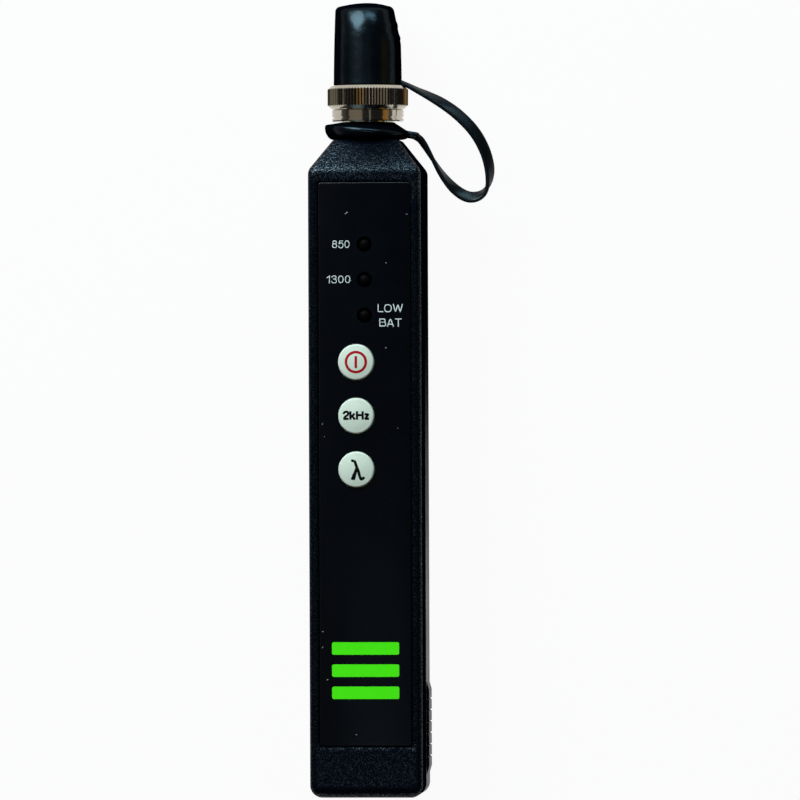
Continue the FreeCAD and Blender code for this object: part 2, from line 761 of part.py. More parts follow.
def battery_door():
    """Make the sliding door: a channel with an end wall, rails, a tongue and finger pads."""
    body = new_body("battery_door")
    plan = sketch_on(body, "plan", "XY_Plane", "axis_z - door_seam")
    rectangle(plan, "0 - half_width", "half_width", "bottom_y", "door_top_y")
    blank = pad(plan, "half_depth - door_seam", flip=True)
    blank = round_edges(blank, "end_corner_radius", upright_at("half_width", "bottom_y"))
    top_y = value("door_top_y")
    round_edges(blank, "edge_radius", lambda edge: all(near(end.Z, 0) for end in edge.Vertexes)
                and not all(near(end.Y, top_y) for end in edge.Vertexes))
    cavity = sketch_on(body, "cavity", "XY_Plane", "axis_z")
    rectangle(cavity, "0 - inner_half", "inner_half", "inner_bottom_y", f"door_top_y + {OVERRUN}")
    pocket(cavity, "half_depth - wall")
    rebates = sketch_on(body, "rebates", "XY_Plane", "axis_z")
    for side in (1, -1):
        rectangle(rebates, f"{side} * (inner_half - lip_gap)",
                  f"{side} * (inner_half + lip_thickness + lip_gap)",
                  "lip_low_y - lip_gap", f"door_top_y + {OVERRUN}")
    pocket(rebates, "lip_height + lip_gap")
    rails = sketch_on(body, "rails", "XY_Plane", "rail_z")
    for side in (1, -1):
        rectangle(rails, f"{side} * (box_outer + rail_gap)", f"{side} * (inner_half + wall / 2)",
                  "inner_bottom_y", "door_top_y")
    pad(rails, "rail_height")
    tongue = sketch_on(body, "tongue", "YZ_Plane")
    outline(tongue, [
        ("cell_top_y", "wall / 2"), ("door_top_y", "wall / 2"),
        ("door_top_y", "tongue_z"), ("door_top_y + tongue_reach", "tongue_z"),
        ("door_top_y + tongue_reach", "tongue_z + tongue_thickness"),
        ("cell_top_y", "tongue_z + tongue_thickness")])
    pad(tongue, "tongue_width", both_ways=True)
    grips = sketch_on(body, "grips", "XY_Plane", "grip_low")
    for side in (1, -1):
        root, skin, crest = (f"{side} * ({x})" for x in (
            "half_width - wall / 2", "half_width", "half_width + grip_rise"))
        outline(grips, [
            (root, "grip_low_y - grip_ramp"), (skin, "grip_low_y - grip_ramp"), (crest, "grip_low_y"),
            (crest, "grip_top_y"), (skin, "grip_top_y + grip_ramp"), (root, "grip_top_y + grip_ramp")])
    pad(grips, "grip_height")
    grooves = sketch_on(body, "grip_grooves", "XY_Plane", "grip_low")
    start_y = "(grip_low_y + grip_top_y) / 2 + grip_groove_pitch * (grip_groove_count - 1) / 2"
    for side in (1, -1):
        floor, clear = (f"{side} * ({x})" for x in (
            "half_width + grip_rise - grip_groove_depth", f"half_width + grip_rise + {OVERRUN}"))
        outline(grooves, [
            (floor, start_y), (clear, f"{start_y} - grip_groove_width"),
            (clear, f"{start_y} + grip_groove_width")])
    groove_cut = pocket(grooves, "grip_height", flip=True)
    repeat_down(groove_cut, grooves, "grip_groove_pitch", "grip_groove_count")


def overlay_panel():
    """Make the printed front panel with its key and lamp holes."""
    body = new_body("overlay_panel")
    plan = sketch_on(body, "plan", "XY_Plane", "panel_floor_z")
    rectangle(plan, "0 - panel_half", "panel_half", "panel_low_y", "panel_top_y")
    sheet_pad = pad(plan, "panel_thickness")
    round_edges(sheet_pad, "panel_corner_radius", lambda edge: near(
        abs(edge.Vertexes[0].Z - edge.Vertexes[-1].Z), value("panel_thickness")))
    key_hole = sketch_on(body, "key_hole", "XY_Plane", "panel_top_z")
    circle(key_hole, "key_offset_x", "key_first_y", "key_radius + key_hole_gap")
    repeat_down(pocket(key_hole, "panel_thickness"), key_hole, "key_pitch", len(KEYS))
    lamp_hole = sketch_on(body, "lamp_hole", "XY_Plane", "panel_top_z")
    circle(lamp_hole, "0", "lamp_first_y", "lamp_radius + lamp_hole_gap")
    repeat_down(pocket(lamp_hole, "panel_thickness"), lamp_hole, "lamp_pitch", len(LAMPS))


def case_screws():
    """Make the four screws that hold the rear shell to the front shell."""
    screws = []
    for x, y in CASE_BOSSES:
        head = cylinder("case_screw_head", "case_screw_head_radius", "case_screw_head_height",
                        x, y, "case_screw_depth - case_screw_head_height")
        shank = cylinder("case_screw_shank", "case_screw_radius",
                         "case_screw_length + case_screw_head_height / 2",
                         x, y, "case_screw_depth - case_screw_head_height / 2")
        screws.append(fuse("case_screw", [head, shank]))
    keep("case_screws", group("case_screws", screws))


# Keys, switches and lamps

def key_y(index):
    """Give the formula for a key's place along the case."""
    return f"key_first_y - {index} * key_pitch"


def key_and_switch(name, index):
    """Make one key, the plunger under it and the switch body that holds the plunger."""
    body = new_body(f"key_{name}")
    profile = sketch_on(body, "profile", "XZ_Plane")
    key_chord = "(key_radius - key_round)"
    outline(profile, [
        ("0", "key_under_z"), ("key_flange_radius", "key_under_z"),
        ("key_flange_radius", "key_under_z + key_flange_thickness"),
        ("key_radius", "key_under_z + key_flange_thickness"),
        ("key_radius", "key_top_z - key_dome - key_round", "key_round"),
        ("key_radius - key_round", "key_top_z - key_dome",
         f"({key_chord} * {key_chord} + key_dome * key_dome) / (2 * key_dome)"), ("0", "key_top_z")])
    revolve(profile)
    place(body, "key_offset_x", key_y(index))

    plunger = cylinder(f"plunger_{name}", "plunger_radius", "switch_height - plunger_lift",
                       "key_offset_x", key_y(index), "board_top_z + plunger_lift")
    keep(f"plunger_{name}", plunger)

    half = "switch_width / 2"
    block = box("switch_block", f"key_offset_x - {half}", f"key_offset_x + {half}",
                f"{key_y(index)} - {half}", f"{key_y(index)} + {half}",
                "board_top_z", "board_top_z + switch_body_height")
    legs = []
    for x_side in (1, -1):
        for y_side in (1, -1):
            leg_y = f"{key_y(index)} + {y_side} * switch_leg_pitch / 2"
            inner_x = f"key_offset_x + {x_side} * {half} - {(1 - x_side) / 2} * switch_leg_reach"
            legs.append(box("switch_leg", inner_x, f"{inner_x} + switch_leg_reach",
                            f"{leg_y} - switch_leg_width / 2", f"{leg_y} + switch_leg_width / 2",
                            "board_top_z", "board_top_z + switch_leg_thickness"))
    bore = cylinder("switch_bore", "plunger_radius + plunger_gap", "switch_body_height",
                    "key_offset_x", key_y(index), "board_top_z + switch_floor")
    keep(f"switch_{name}", cut(f"switch_{name}", fuse("switch_blank", [block, *legs]), [bore]))


def lamp_y(index):
    """Give the formula for a lamp's place along the case."""
    return f"lamp_first_y - {index} * lamp_pitch"


def lamp(name, index):
    """Make one 3 mm lamp with its flange and round nose."""
    foot = cylinder("lamp_foot", "lamp_radius + lamp_flange_step", "lamp_flange_height",
                    y=lamp_y(index), z="lamp_low_z")
    stem = cylinder("lamp_stem", "lamp_radius", "lamp_height - lamp_radius",
                    y=lamp_y(index), z="lamp_low_z")
    nose = doc.addObject("Part::Sphere", "lamp_nose")
    bind(nose, Radius="lamp_radius")
    place(nose, y=lamp_y(index), z="lamp_top_z - lamp_radius")
    keep(f"lamp_{name}", fuse(f"lamp_{name}", [foot, stem, nose]))


def lamp_leads():
    """Make the six lamp legs that stand on the board."""
    half = "lamp_lead_width / 2"
    legs = []
    for index in range(len(LAMPS)):
        y = lamp_y(index)
        for side in (1, -1):
            x = f"{side} * lamp_lead_spread"
            legs.append(box("lamp_leg", f"{x} - {half}", f"{x} + {half}", f"{y} - {half}", f"{y} + {half}",
                            "board_top_z", "lamp_low_z"))
    keep("lamp_leads", group("lamp_leads", legs))


# Board and what it carries

def main_board():
    """Make the board with screw holes and notches round the lower case bosses."""
    body = new_body("main_board")
    plan = sketch_on(body, "plan", "XY_Plane", "board_under_z")
    rectangle(plan, "0 - board_half", "board_half", "board_low_y", "board_top_y")
    pad(plan, "board_thickness")
    notches = sketch_on(body, "notches", "XY_Plane", "board_top_z")
    for side in (1, -1):
        rectangle(notches, f"{side} * (boss_x - boss_radius - board_notch_gap)",
                  f"{side} * (board_half + {OVERRUN})",
                  f"board_low_y - {OVERRUN}", "boss_low_y + boss_radius + board_notch_gap")
    pocket(notches, "board_thickness")
    holes = sketch_on(body, "holes", "XY_Plane", "board_top_z")
    circles(holes, BOARD_POSTS, "board_screw_radius + screw_hole_gap")
    pocket(holes, "board_thickness")


def board_screws():
    """Make the three screws that hold the board against its posts."""
    screws = []
    for x, y in BOARD_POSTS:
        head = cylinder("board_screw_head", "board_screw_head_radius", "board_screw_head_height",
                        x, y, "board_under_z - board_screw_head_height")
        shank = cylinder("board_screw_shank", "board_screw_radius",
                         "board_screw_length + board_screw_head_height / 2",
                         x, y, "board_under_z - board_screw_head_height / 2")
        screws.append(fuse("board_screw", [head, shank]))
    keep("board_screws", group("board_screws", screws))


def board_components():
    """Make the driver chip, boost coil and filter capacitor under the board."""
    chip_y = "board_top_y - chip_drop"
    chip = box("driver_chip", "chip_offset_x - chip_width / 2", "chip_offset_x + chip_width / 2",
               f"{chip_y} - chip_length / 2", f"{chip_y} + chip_length / 2",
               "board_under_z - chip_height", "board_under_z")
    keep("driver_chip", chip)
    coil = new_body("boost_coil")
    profile = sketch_on(coil, "profile", "XZ_Plane")
    low_z = "board_under_z - coil_height"
    outline(profile, [
        ("0", low_z), ("coil_radius", low_z), ("coil_radius", f"{low_z} + coil_flange"),
        ("coil_radius - coil_waist", f"{low_z} + coil_flange"),
        ("coil_radius - coil_waist", "board_under_z - coil_flange"),
        ("coil_radius", "board_under_z - coil_flange"), ("coil_radius", "board_under_z"),
        ("0", "board_under_z")])
    revolve(profile)
    place(coil, "0", "board_top_y - coil_drop")
    capacitor = cylinder("filter_capacitor", "capacitor_radius", "capacitor_height",
                         "0", "board_top_y - capacitor_drop", "board_under_z - capacitor_height")
    keep("filter_capacitor", capacitor)


# Battery

def battery_cell():
    """Make the cell with rounded shoulders and its raised end."""
    body = new_body("battery_cell")
    profile = sketch_on(body, "profile", "XY_Plane")
    shoulder = "cell_top_y - cell_nub_length"
    outline(profile, [
        ("0", "cell_low_y"), ("cell_radius - cell_edge_radius", "cell_low_y", "cell_edge_radius"),
        ("cell_radius", "cell_low_y + cell_edge_radius"),
        ("cell_radius", f"{shoulder} - cell_edge_radius", "cell_edge_radius"),
        ("cell_radius - cell_edge_radius", shoulder), ("cell_nub_radius", shoulder),
        ("cell_nub_radius", "cell_top_y"), ("0", "cell_top_y")])
    revolve(profile)
    place(body, z="cell_axis_z")


def contact_spring():
    """Make the folded leaf spring that presses on the cell's flat end."""
    body = new_body("contact_spring")
    profile = sketch_on(body, "profile", "YZ_Plane")
    low_z = "cell_axis_z - contact_half_height"
    pad_low = "cell_axis_z - spring_pad_half"
    pad_high = "cell_axis_z + spring_pad_half"
    inner_y = "spring_y + contact_thickness"
    outline(profile, [
        ("spring_y", low_z), (inner_y, low_z), ("cell_low_y", pad_low), ("cell_low_y", pad_high),
        ("cell_low_y - contact_thickness", pad_high), ("cell_low_y - contact_thickness", pad_low),
        (inner_y, f"{low_z} + spring_fold"), (inner_y, "cell_axis_z + contact_half_height"),
        ("spring_y", "cell_axis_z + contact_half_height")])
    pad(profile, "contact_width", both_ways=True)


def contact_plate():
    """Make the flat contact at the cell's raised end, with the neck and tail that lead to the board."""
    plate = box("contact_plate", "0 - contact_width / 2", "contact_width / 2",
                "cell_top_y", "cell_top_y + contact_thickness",
                "cell_axis_z - contact_half_height", "cell_axis_z + contact_half_height")
    tail_top_z = "board_top_z + contact_thickness"
    neck = box("contact_neck", "0 - tail_width / 2", "tail_width / 2",
               "cell_top_y", "cell_top_y + contact_thickness", "cell_axis_z", tail_top_z)
    tail = box("contact_tail", "0 - tail_width / 2", "tail_width / 2",
               "cell_top_y", "board_low_y + tail_lap", "board_top_z", tail_top_z)
    keep("contact_plate", fuse("contact_plate", [plate, neck, tail]))


def rounded_path(points):
    """Give a line through the corners of a route: straight runs joined by tangent arcs."""
    runs = [(after - before).Length for before, after in zip(points, points[1:])]
    edges = []
    start = points[0]
    for index in range(1, len(points) - 1):
        corner = points[index]
        inward = (points[index - 1] - corner).normalize()
        outward = (points[index + 1] - corner).normalize()
        setback = ARC_SHARE * min(runs[index - 1], runs[index])
        first, last = corner + inward * setback, corner + outward * setback
        half_turn = (math.pi - inward.getAngle(outward)) / 2
        radius = setback / math.tan(half_turn)
        bisector = (inward + outward).normalize()
        middle = corner + bisector * (radius / math.cos(half_turn) - radius)
        edges.append(Part.LineSegment(start, first).toShape())
        edges.append(Part.Arc(first, middle, last).toShape())
        start = last
    edges.append(Part.LineSegment(start, points[-1]).toShape())
    return Part.Wire(edges)


def battery_lead():
    """Make the insulated wire from the spring to the board."""
    points = [Vector(*(value(formula) for formula in corner)) for corner in LEAD_ROUTE]
    path = rounded_path(points)
    disc = Part.makeCircle(value("lead_radius"), points[0], points[1] - points[0])
    lead = doc.addObject("Part::Feature", "battery_lead")
    lead.Shape = path.makePipeShell([Part.Wire(disc)], True, False)
    share = lead.Shape.Volume / (math.pi * value("lead_radius") ** 2 * path.Length)
    print(f"battery lead length {path.Length:.1f} mm, volume {share:.3f} of section times length")
    keep("battery_lead", lead)


# Optical port

def port_body():
    """Make the plated port body: shank, neck, grooved flange and the boss for the ring."""
    body = new_body("port_body")
    profile = sketch_on(body, "profile", "XY_Plane")
    groove_low = "flange_y + flange_groove_lift"
    groove_high = "flange_y + flange_groove_lift + flange_groove_width"
    can_end = "shank_low_y + can_length - can_flange_thickness + can_gap"
    outline(profile, [
        ("light_bore_radius", can_end), ("shank_bore", can_end), ("shank_bore", "shank_low_y"),
        ("shank_radius", "shank_low_y"), ("shank_radius", "top_y"), ("neck_radius", "top_y"),
        ("neck_radius", "flange_y"), ("flange_radius - flange_edge", "flange_y"),
        ("flange_radius", "flange_y + flange_edge"), ("flange_radius", groove_low),
        ("flange_radius - flange_groove_depth", groove_low),
        ("flange_radius - flange_groove_depth", groove_high), ("flange_radius", groove_high),
        ("flange_radius", "boss_y - flange_edge"), ("flange_radius - flange_edge", "boss_y"),
        ("port_boss_radius", "boss_y"), ("port_boss_radius", "boss_top_y"),
        ("light_bore_radius", "boss_top_y")])
    revolve(profile)
    place(body, z="axis_z")


def port_washer_and_nut():
    """Make the washer and the hexagon nut that clamp the port inside the case."""
    washer_y = "seat_y - washer_thickness"
    bore_radius = "shank_radius + screw_hole_gap"
    washer = cylinder("washer_disc", "shank_radius + nut_wall", "washer_thickness",
                      y=washer_y, z="axis_z", along="y")
    hole = cylinder("washer_hole", bore_radius, "washer_thickness", y=washer_y, z="axis_z", along="y")
    keep("port_washer", cut("port_washer", washer, [hole]))
    nut_y = f"{washer_y} - nut_height"
    hexagon = doc.addObject("Part::Prism", "nut_hexagon")
    hexagon.Polygon = 6
    hexagon.Placement = Placement(Vector(), Rotation(Vector(1, 0, 0), -90))
    bind(hexagon, Circumradius="nut_corner", Height="nut_height")
    place(hexagon, "0", nut_y, "axis_z")
    bore = cylinder("nut_bore", bore_radius, "nut_height", y=nut_y, z="axis_z", along="y")
    keep("port_nut", cut("port_nut", hexagon, [bore]))


def coupling_ring():
    """Make the knurled ring that holds the adapter down on the port's boss."""
    body = new_body("coupling_ring")
    profile = sketch_on(body, "profile", "XY_Plane")
    outline(profile, [
        ("port_boss_radius + ring_run_gap", "ring_low_y"), ("ring_radius - ring_chamfer", "ring_low_y"),
        ("ring_radius", "ring_low_y + ring_chamfer"), ("ring_radius", "ring_top_y - ring_chamfer"),
        ("ring_radius - ring_chamfer", "ring_top_y"), ("barrel_radius + ring_hole_gap", "ring_top_y"),
        ("barrel_radius + ring_hole_gap", "ring_seat_y"),
        ("port_boss_radius + ring_run_gap", "ring_seat_y")])
    revolve(profile)
    groove = sketch_on(body, "knurl", "XZ_Plane", f"{OVERRUN} - ring_low_y")
    half_mouth = f"(ring_radius + {OVERRUN}) * tan(180 / knurl_count)"
    outline(groove, [
        ("ring_radius - knurl_depth", "0"),
        (f"ring_radius + {OVERRUN}", f"0 - ({half_mouth}) * (1 + {OVERRUN} / knurl_depth)"),
        (f"ring_radius + {OVERRUN}", f"({half_mouth}) * (1 + {OVERRUN} / knurl_depth)")])
    tooth_gap = pocket(groove, f"ring_top_y - ring_low_y + {2 * OVERRUN}")
    pattern = body.newObject("PartDesign::PolarPattern", "knurl_round")
    pattern.Originals = [tooth_gap]
    pattern.Axis = (groove, ["N_Axis"])
    pattern.Angle = 360
    bind(pattern, Occurrences="knurl_count")
    body.Tip = pattern
    settle(pattern)
    place(body, z="axis_z")


def port_adapter():
    """Make the bayonet adapter: flange, barrel, two lugs and a bore that takes the sleeve from below."""
    body = new_body("port_adapter")
    profile = sketch_on(body, "profile", "XY_Plane")
    seat_bore = "sleeve_radius + sleeve_side_gap"
    mouth_bore = "ferrule_radius + nose_lip_gap"
    lip_y = "sleeve_top_y + sleeve_gap"
    outline(profile, [
        (seat_bore, "boss_top_y"), ("adapter_radius", "boss_top_y"),
        ("adapter_radius", "adapter_top_y"), ("barrel_radius", "adapter_top_y"),
        ("barrel_radius", "nose_y - barrel_edge"), ("barrel_radius - barrel_edge", "nose_y"),
        (mouth_bore, "nose_y"), (mouth_bore, lip_y), (seat_bore, lip_y)])
    revolve(profile)
    for side, plane_offset in (("right", "barrel_radius - lug_height"), ("left", "0 - lug_reach")):
        lug = sketch_on(body, f"lug_{side}", "YZ_Plane", plane_offset)
        circle(lug, "nose_y - lug_drop", "0", "lug_radius")
        pad(lug, "2 * lug_height")
    place(body, z="axis_z")


def alignment_sleeve():
    """Make the slit ceramic sleeve that takes the ferrule."""
    body = new_body("alignment_sleeve")
    profile = sketch_on(body, "profile", "XY_Plane")
    rectangle(profile, "ferrule_radius", "sleeve_radius", "sleeve_low_y", "sleeve_top_y")
    revolve(profile)
    slit = sketch_on(body, "slit", "XY_Plane")
    rectangle(slit, "0 - sleeve_slit / 2", "sleeve_slit / 2",
              f"sleeve_low_y - {OVERRUN}", f"sleeve_top_y + {OVERRUN}")
    pocket(slit, f"sleeve_radius + {OVERRUN}")
    place(body, z="axis_z")


def emitter():
    """Make the emitter can in the port's shank and its three leads under the board."""
    can_y = "shank_low_y - can_flange_thickness"
    rim = cylinder("can_rim", "can_radius + can_flange_step", "can_flange_thickness",
                   y=can_y, z="axis_z", along="y")
    cap = cylinder("can_cap", "can_radius", "can_length", y=can_y, z="axis_z", along="y")
    keep("emitter_can", fuse("emitter_can", [rim, cap]))
    low_y = "board_top_y - emitter_lead_lap"
    leads = [cylinder("emitter_lead", "emitter_lead_radius", f"({can_y}) - ({low_y})",
                      f"{step} * emitter_lead_spread", low_y, "axis_z + emitter_lead_offset", "y")
             for step in (-1, 0, 1)]
    keep("emitter_leads", group("emitter_leads", leads))


# Dust cap and tether

def dust_cap():
    """Make the moulded cap: tapered sides, domed top, flared rim and the lug that the strap leaves from."""
    body = new_body("dust_cap")
    profile = sketch_on(body, "profile", "XY_Plane")
    rim = "cap_radius + cap_rim_step"
    rim_y = "cap_low_y + cap_rim_height"
    crown_y = "cap_edge_y - cap_crown_round"
    crown_chord = "(cap_crown - cap_crown_round)"
    outline(profile, [
        ("0", "cap_roof_y"), ("cap_bore", "cap_roof_y"), ("cap_bore", "cap_low_y"), (rim, "cap_low_y"),
        (rim, rim_y), ("cap_radius", f"{rim_y} + cap_flare", "cap_side_radius"),
        ("cap_crown", crown_y, "cap_crown_round"), ("cap_crown - cap_crown_round", "cap_edge_y",
         f"({crown_chord} * {crown_chord} + cap_dome * cap_dome) / (2 * cap_dome)"),
        ("0", "cap_top_y")])
    revolve(profile)
    lug = sketch_on(body, "lug", "XY_Plane")
    lug_root = "cap_bore + cap_wall / 2"
    outline(lug, [
        (lug_root, "cap_low_y"), ("cap_lug_x", "cap_low_y"), ("cap_lug_x", "cap_low_y + cap_lug_end"),
        (lug_root, "cap_low_y + cap_lug_root")])
    pad(lug, "cap_lug_width", both_ways=True)
    place(body, z="axis_z")


def strap_path():
    """Give the strap's centre line in the plane of the port axis."""
    lug = Vector(value("cap_lug_x + strap_end_gap"), value("cap_low_y + cap_lug_end / 2"), 0)
    tab = Vector(value("tether_tab_x - strap_thickness"), value("tether_y"), 0)
    points = [lug]
    points += [lug + Vector(x, y, 0) for x, y in STRAP_FROM_LUG]
    points += [tab + Vector(x, y, 0) for x, y in STRAP_FROM_TAB]
    points += [tab]
    return rounded_path(points)


def cap_tether():
    """Make the tether: a tilted ring round the port's neck, its tab and the strap."""
    ring = cylinder("tether_disc", "tether_outer", "tether_thickness", along="y")
    tab = box("tether_tab", "tether_inner + tether_band / 2", "tether_tab_x", "0", "tether_thickness",
              "0 - tether_tab_width / 2", "tether_tab_width / 2")
    hole = cylinder("tether_hole", "tether_inner", "tether_thickness", along="y")
    collar = cut("tether_collar", fuse("tether_blank", [ring, tab]), [hole])
    heading = math.radians(value("tether_heading"))
    tilt = Rotation(Vector(math.cos(heading), 0, -math.sin(heading)), value("tether_tilt"))
    drop = tilt.multVec(Vector(0, value("tether_thickness") / 2, 0))
    collar.Placement = Placement(Vector(0, value("tether_y"), value("axis_z")) - drop, tilt)

    path = strap_path()
    across = Vector(0, 0, 1)
    start = path.Edges[0]
    heading_out = start.tangentAt(start.FirstParameter)
    roll = Rotation(heading_out, value("strap_roll"))
    wide = roll.multVec(across) * value("strap_width") / 2
    thin = roll.multVec(heading_out.cross(across)) * value("strap_thickness") / 2
    foot = path.OrderedVertexes[0].Point
    section = Part.makePolygon([foot + wide + thin, foot - wide + thin, foot - wide - thin,
                                foot + wide - thin, foot + wide + thin])
    strap = doc.addObject("Part::Feature", "strap")
    strap.Shape = path.makePipeShell([section], True, False)
    strap.Placement = Placement(Vector(0, 0, value("axis_z")), Rotation())
    share = strap.Shape.Volume / (value("strap_width * strap_thickness") * path.Length)
    print(f"strap length {path.Length:.1f} mm, volume {share:.3f} of section times length")
    keep("cap_tether", fuse("cap_tether", [collar, strap]))


# Build

front_shell()
rear_shell()
battery_door()
overlay_panel()
case_screws()
for number, key_name in enumerate(KEYS):
    key_and_switch(key_name, number)
for number, lamp_name in enumerate(LAMPS):
    lamp(lamp_name, number)
lamp_leads()
main_board()
board_screws()
board_components()
battery_cell()
contact_spring()
contact_plate()
battery_lead()
port_body()
port_washer_and_nut()
coupling_ring()
port_adapter()
alignment_sleeve()
emitter()
dust_cap()
cap_tether()
doc.recompute()

for item in doc.Objects:
    if "Invalid" in item.State or "Error" in item.State:
        raise RuntimeError(f"{item.Label} did not build: {item.State}")
for label, item in sub_parts.items():
    if item.Shape.isNull() or not item.Shape.isValid():
        raise RuntimeError(f"{label} has no valid shape")

os.makedirs("parts", exist_ok=True)
for label, item in sub_parts.items():
    item.Shape.exportStep(f"parts/{label}.step")
print(f"{len(sub_parts)} sub-parts written")
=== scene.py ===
"""Looks of a pocket optical light source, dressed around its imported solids.

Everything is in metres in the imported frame: Z rises out of the front face, Y runs along the case
towards the optical port and X is to the reader's right. Sizes are written in millimetres and
scaled by MM.
"""
import logging
import math
from abc import ABC, abstractmethod
from collections.abc import Sequence
from dataclasses import dataclass
from enum import Enum

import bmesh
import bpy
from bpy.types import Curve, Material, Mesh, Node, NodeSocket, NodeTree, Object
from mathutils import Matrix, Vector


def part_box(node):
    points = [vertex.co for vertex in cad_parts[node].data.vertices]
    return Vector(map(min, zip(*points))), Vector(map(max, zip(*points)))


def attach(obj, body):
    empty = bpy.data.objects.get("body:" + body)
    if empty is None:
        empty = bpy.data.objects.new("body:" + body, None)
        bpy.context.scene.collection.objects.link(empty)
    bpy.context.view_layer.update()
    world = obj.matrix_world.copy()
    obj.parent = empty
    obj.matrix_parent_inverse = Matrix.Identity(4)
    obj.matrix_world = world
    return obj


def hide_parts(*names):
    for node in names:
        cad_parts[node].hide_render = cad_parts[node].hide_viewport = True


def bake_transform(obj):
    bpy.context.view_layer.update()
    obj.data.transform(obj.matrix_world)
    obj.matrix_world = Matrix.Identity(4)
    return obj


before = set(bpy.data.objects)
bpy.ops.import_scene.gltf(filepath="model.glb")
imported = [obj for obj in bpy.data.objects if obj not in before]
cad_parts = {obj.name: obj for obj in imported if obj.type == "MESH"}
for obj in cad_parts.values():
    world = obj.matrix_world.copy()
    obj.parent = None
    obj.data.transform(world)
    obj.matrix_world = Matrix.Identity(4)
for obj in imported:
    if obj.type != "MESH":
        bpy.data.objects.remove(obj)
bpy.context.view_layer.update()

MM = 0.001
LOG = logging.getLogger("light_source")
MERGE = 1e-7
WHITE = "#ffffff"
CORNER_STEPS = 4
EDGE_STEPS = 2
# How far the Wave texture's phase goes in one unit at a scale of one
WAVE_RATE = 20.0
# The Mix node's sockets by number, since their names repeat
MIX_SHARE = 0
MIX_NUMBER_A = 2
MIX_NUMBER_B = 3
MIX_COLOUR_A = 6
MIX_COLOUR_B = 7
MIXED_COLOUR = 2
Point = tuple[float, float]


class Body(Enum):
    """The moving bodies that a new piece can ride on."""

    CASE = "case"
    POWER_KEY = "power_key"
    TONE_KEY = "tone_key"
    WAVELENGTH_KEY = "wavelength_key"
    CAP = "cap"


# Small tools


def srgb(code: str) -> tuple[float, float, float, float]:
    """Turn an sRGB hex value into a linear colour.

    Args:
        code: six hex digits after a hash sign.

    Returns:
        Linear red, green and blue, with an alpha of one.
    """
    shares = [int(code[start:start + 2], 16) / 255 for start in (1, 3, 5)]
    linear = [share / 12.92 if share <= 0.04045 else ((share + 0.055) / 1.055) ** 2.4 for share in shares]
    return (*linear, 1.0)


def per_mm(size: float) -> float:
    """Give the texture scale whose features are about so many millimetres wide."""
    return 1.0 / (size * MM)


def shift(x: float, y: float, z: float = 0.0) -> Matrix:
    """Give the move by so many millimetres."""
    return Matrix.Translation((x * MM, y * MM, z * MM))


def feed(tree: NodeTree, socket: NodeSocket, value: object) -> None:
    """Give an input its value, or link it to the output that gives it.

    Args:
        tree: the node tree.
        socket: the input socket.
        value: a plain value or an output socket.
    """
    if isinstance(value, NodeSocket):
        tree.links.new(value, socket)
    else:
        socket.default_value = value


def add_node(tree: NodeTree, kind: str, inputs: dict | None = None, **settings) -> Node:
    """Add a node with its settings, its input values and the links into it.

    Args:
        tree: the node tree that gets the node.
        kind: the node's type name.
        inputs: values or output sockets, by input name or number.
        settings: the node's own properties.

    Returns:
        The new node.
    """
    node = tree.nodes.new(kind)
    for name, value in settings.items():
        setattr(node, name, value)
    for name, value in (inputs or {}).items():
        feed(tree, node.inputs[name], value)
    return node


def new_object(name: str, mesh: Mesh, smooth_angle: float = 40.0) -> Object:
    """Show a mesh as an object of the scene, shaded smooth up to an angle.

    Args:
        name: the object's name.
        mesh: its mesh.
        smooth_angle: the angle in degrees above which an edge stays sharp.

    Returns:
        The object, linked to the scene.
    """
    mesh.shade_smooth()
    mesh.set_sharp_from_angle(angle=math.radians(smooth_angle))
    piece = bpy.data.objects.new(name, mesh)
    bpy.context.scene.collection.objects.link(piece)
    return piece


def shown_mesh(holder: Object, name: str) -> Mesh:
    """Take the final mesh of an object, with its curves and modifiers worked out.

    Args:
        holder: an object of the scene.
        name: the mesh's name.

    Returns:
        The mesh, with no materials.
    """
    shown = holder.evaluated_get(bpy.context.evaluated_depsgraph_get())
    mesh = bpy.data.meshes.new_from_object(shown)
    mesh.name = name
    mesh.materials.clear()
    return mesh


def mesh_of_curve(name: str, curve: Curve) -> Mesh:
    """Turn a curve into a mesh and drop the curve.

    Args:
        name: the mesh's name.
        curve: the curve data.

    Returns:
        The mesh.
    """
    holder = bpy.data.objects.new(name, curve)
    bpy.context.scene.collection.objects.link(holder)
    mesh = shown_mesh(holder, name)
    bpy.data.objects.remove(holder)
    bpy.data.curves.remove(curve)
    return mesh


def mesh_of_work(name: str, work: bmesh.types.BMesh) -> Mesh:
    """Turn geometry that is worked on into a mesh, and end the work.

    Args:
        name: the mesh's name.
        work: the geometry.

    Returns:
        The mesh.
    """
    mesh = bpy.data.meshes.new(name)
    work.to_mesh(mesh)
    work.free()
    return mesh


def arc(centre: Point, radius: float, start: float, end: float, steps: int) -> list[Point]:
    """Give points along an arc.

    Args:
        centre: the arc's centre.
        radius: its radius.
        start: the first point's angle in degrees.
        end: the last point's angle in degrees.
        steps: how many steps lie between them.

    Returns:
        The points, both ends included.
    """
    turns = [math.radians(start + (end - start) * step / steps) for step in range(steps + 1)]
    return [(centre[0] + radius * math.cos(turn), centre[1] + radius * math.sin(turn)) for turn in turns]


def circle(centre: Point, radius: float, steps: int) -> list[Point]:
    """Give so many points round a circle."""
    return arc(centre, radius, 0, 360, steps)[:-1]


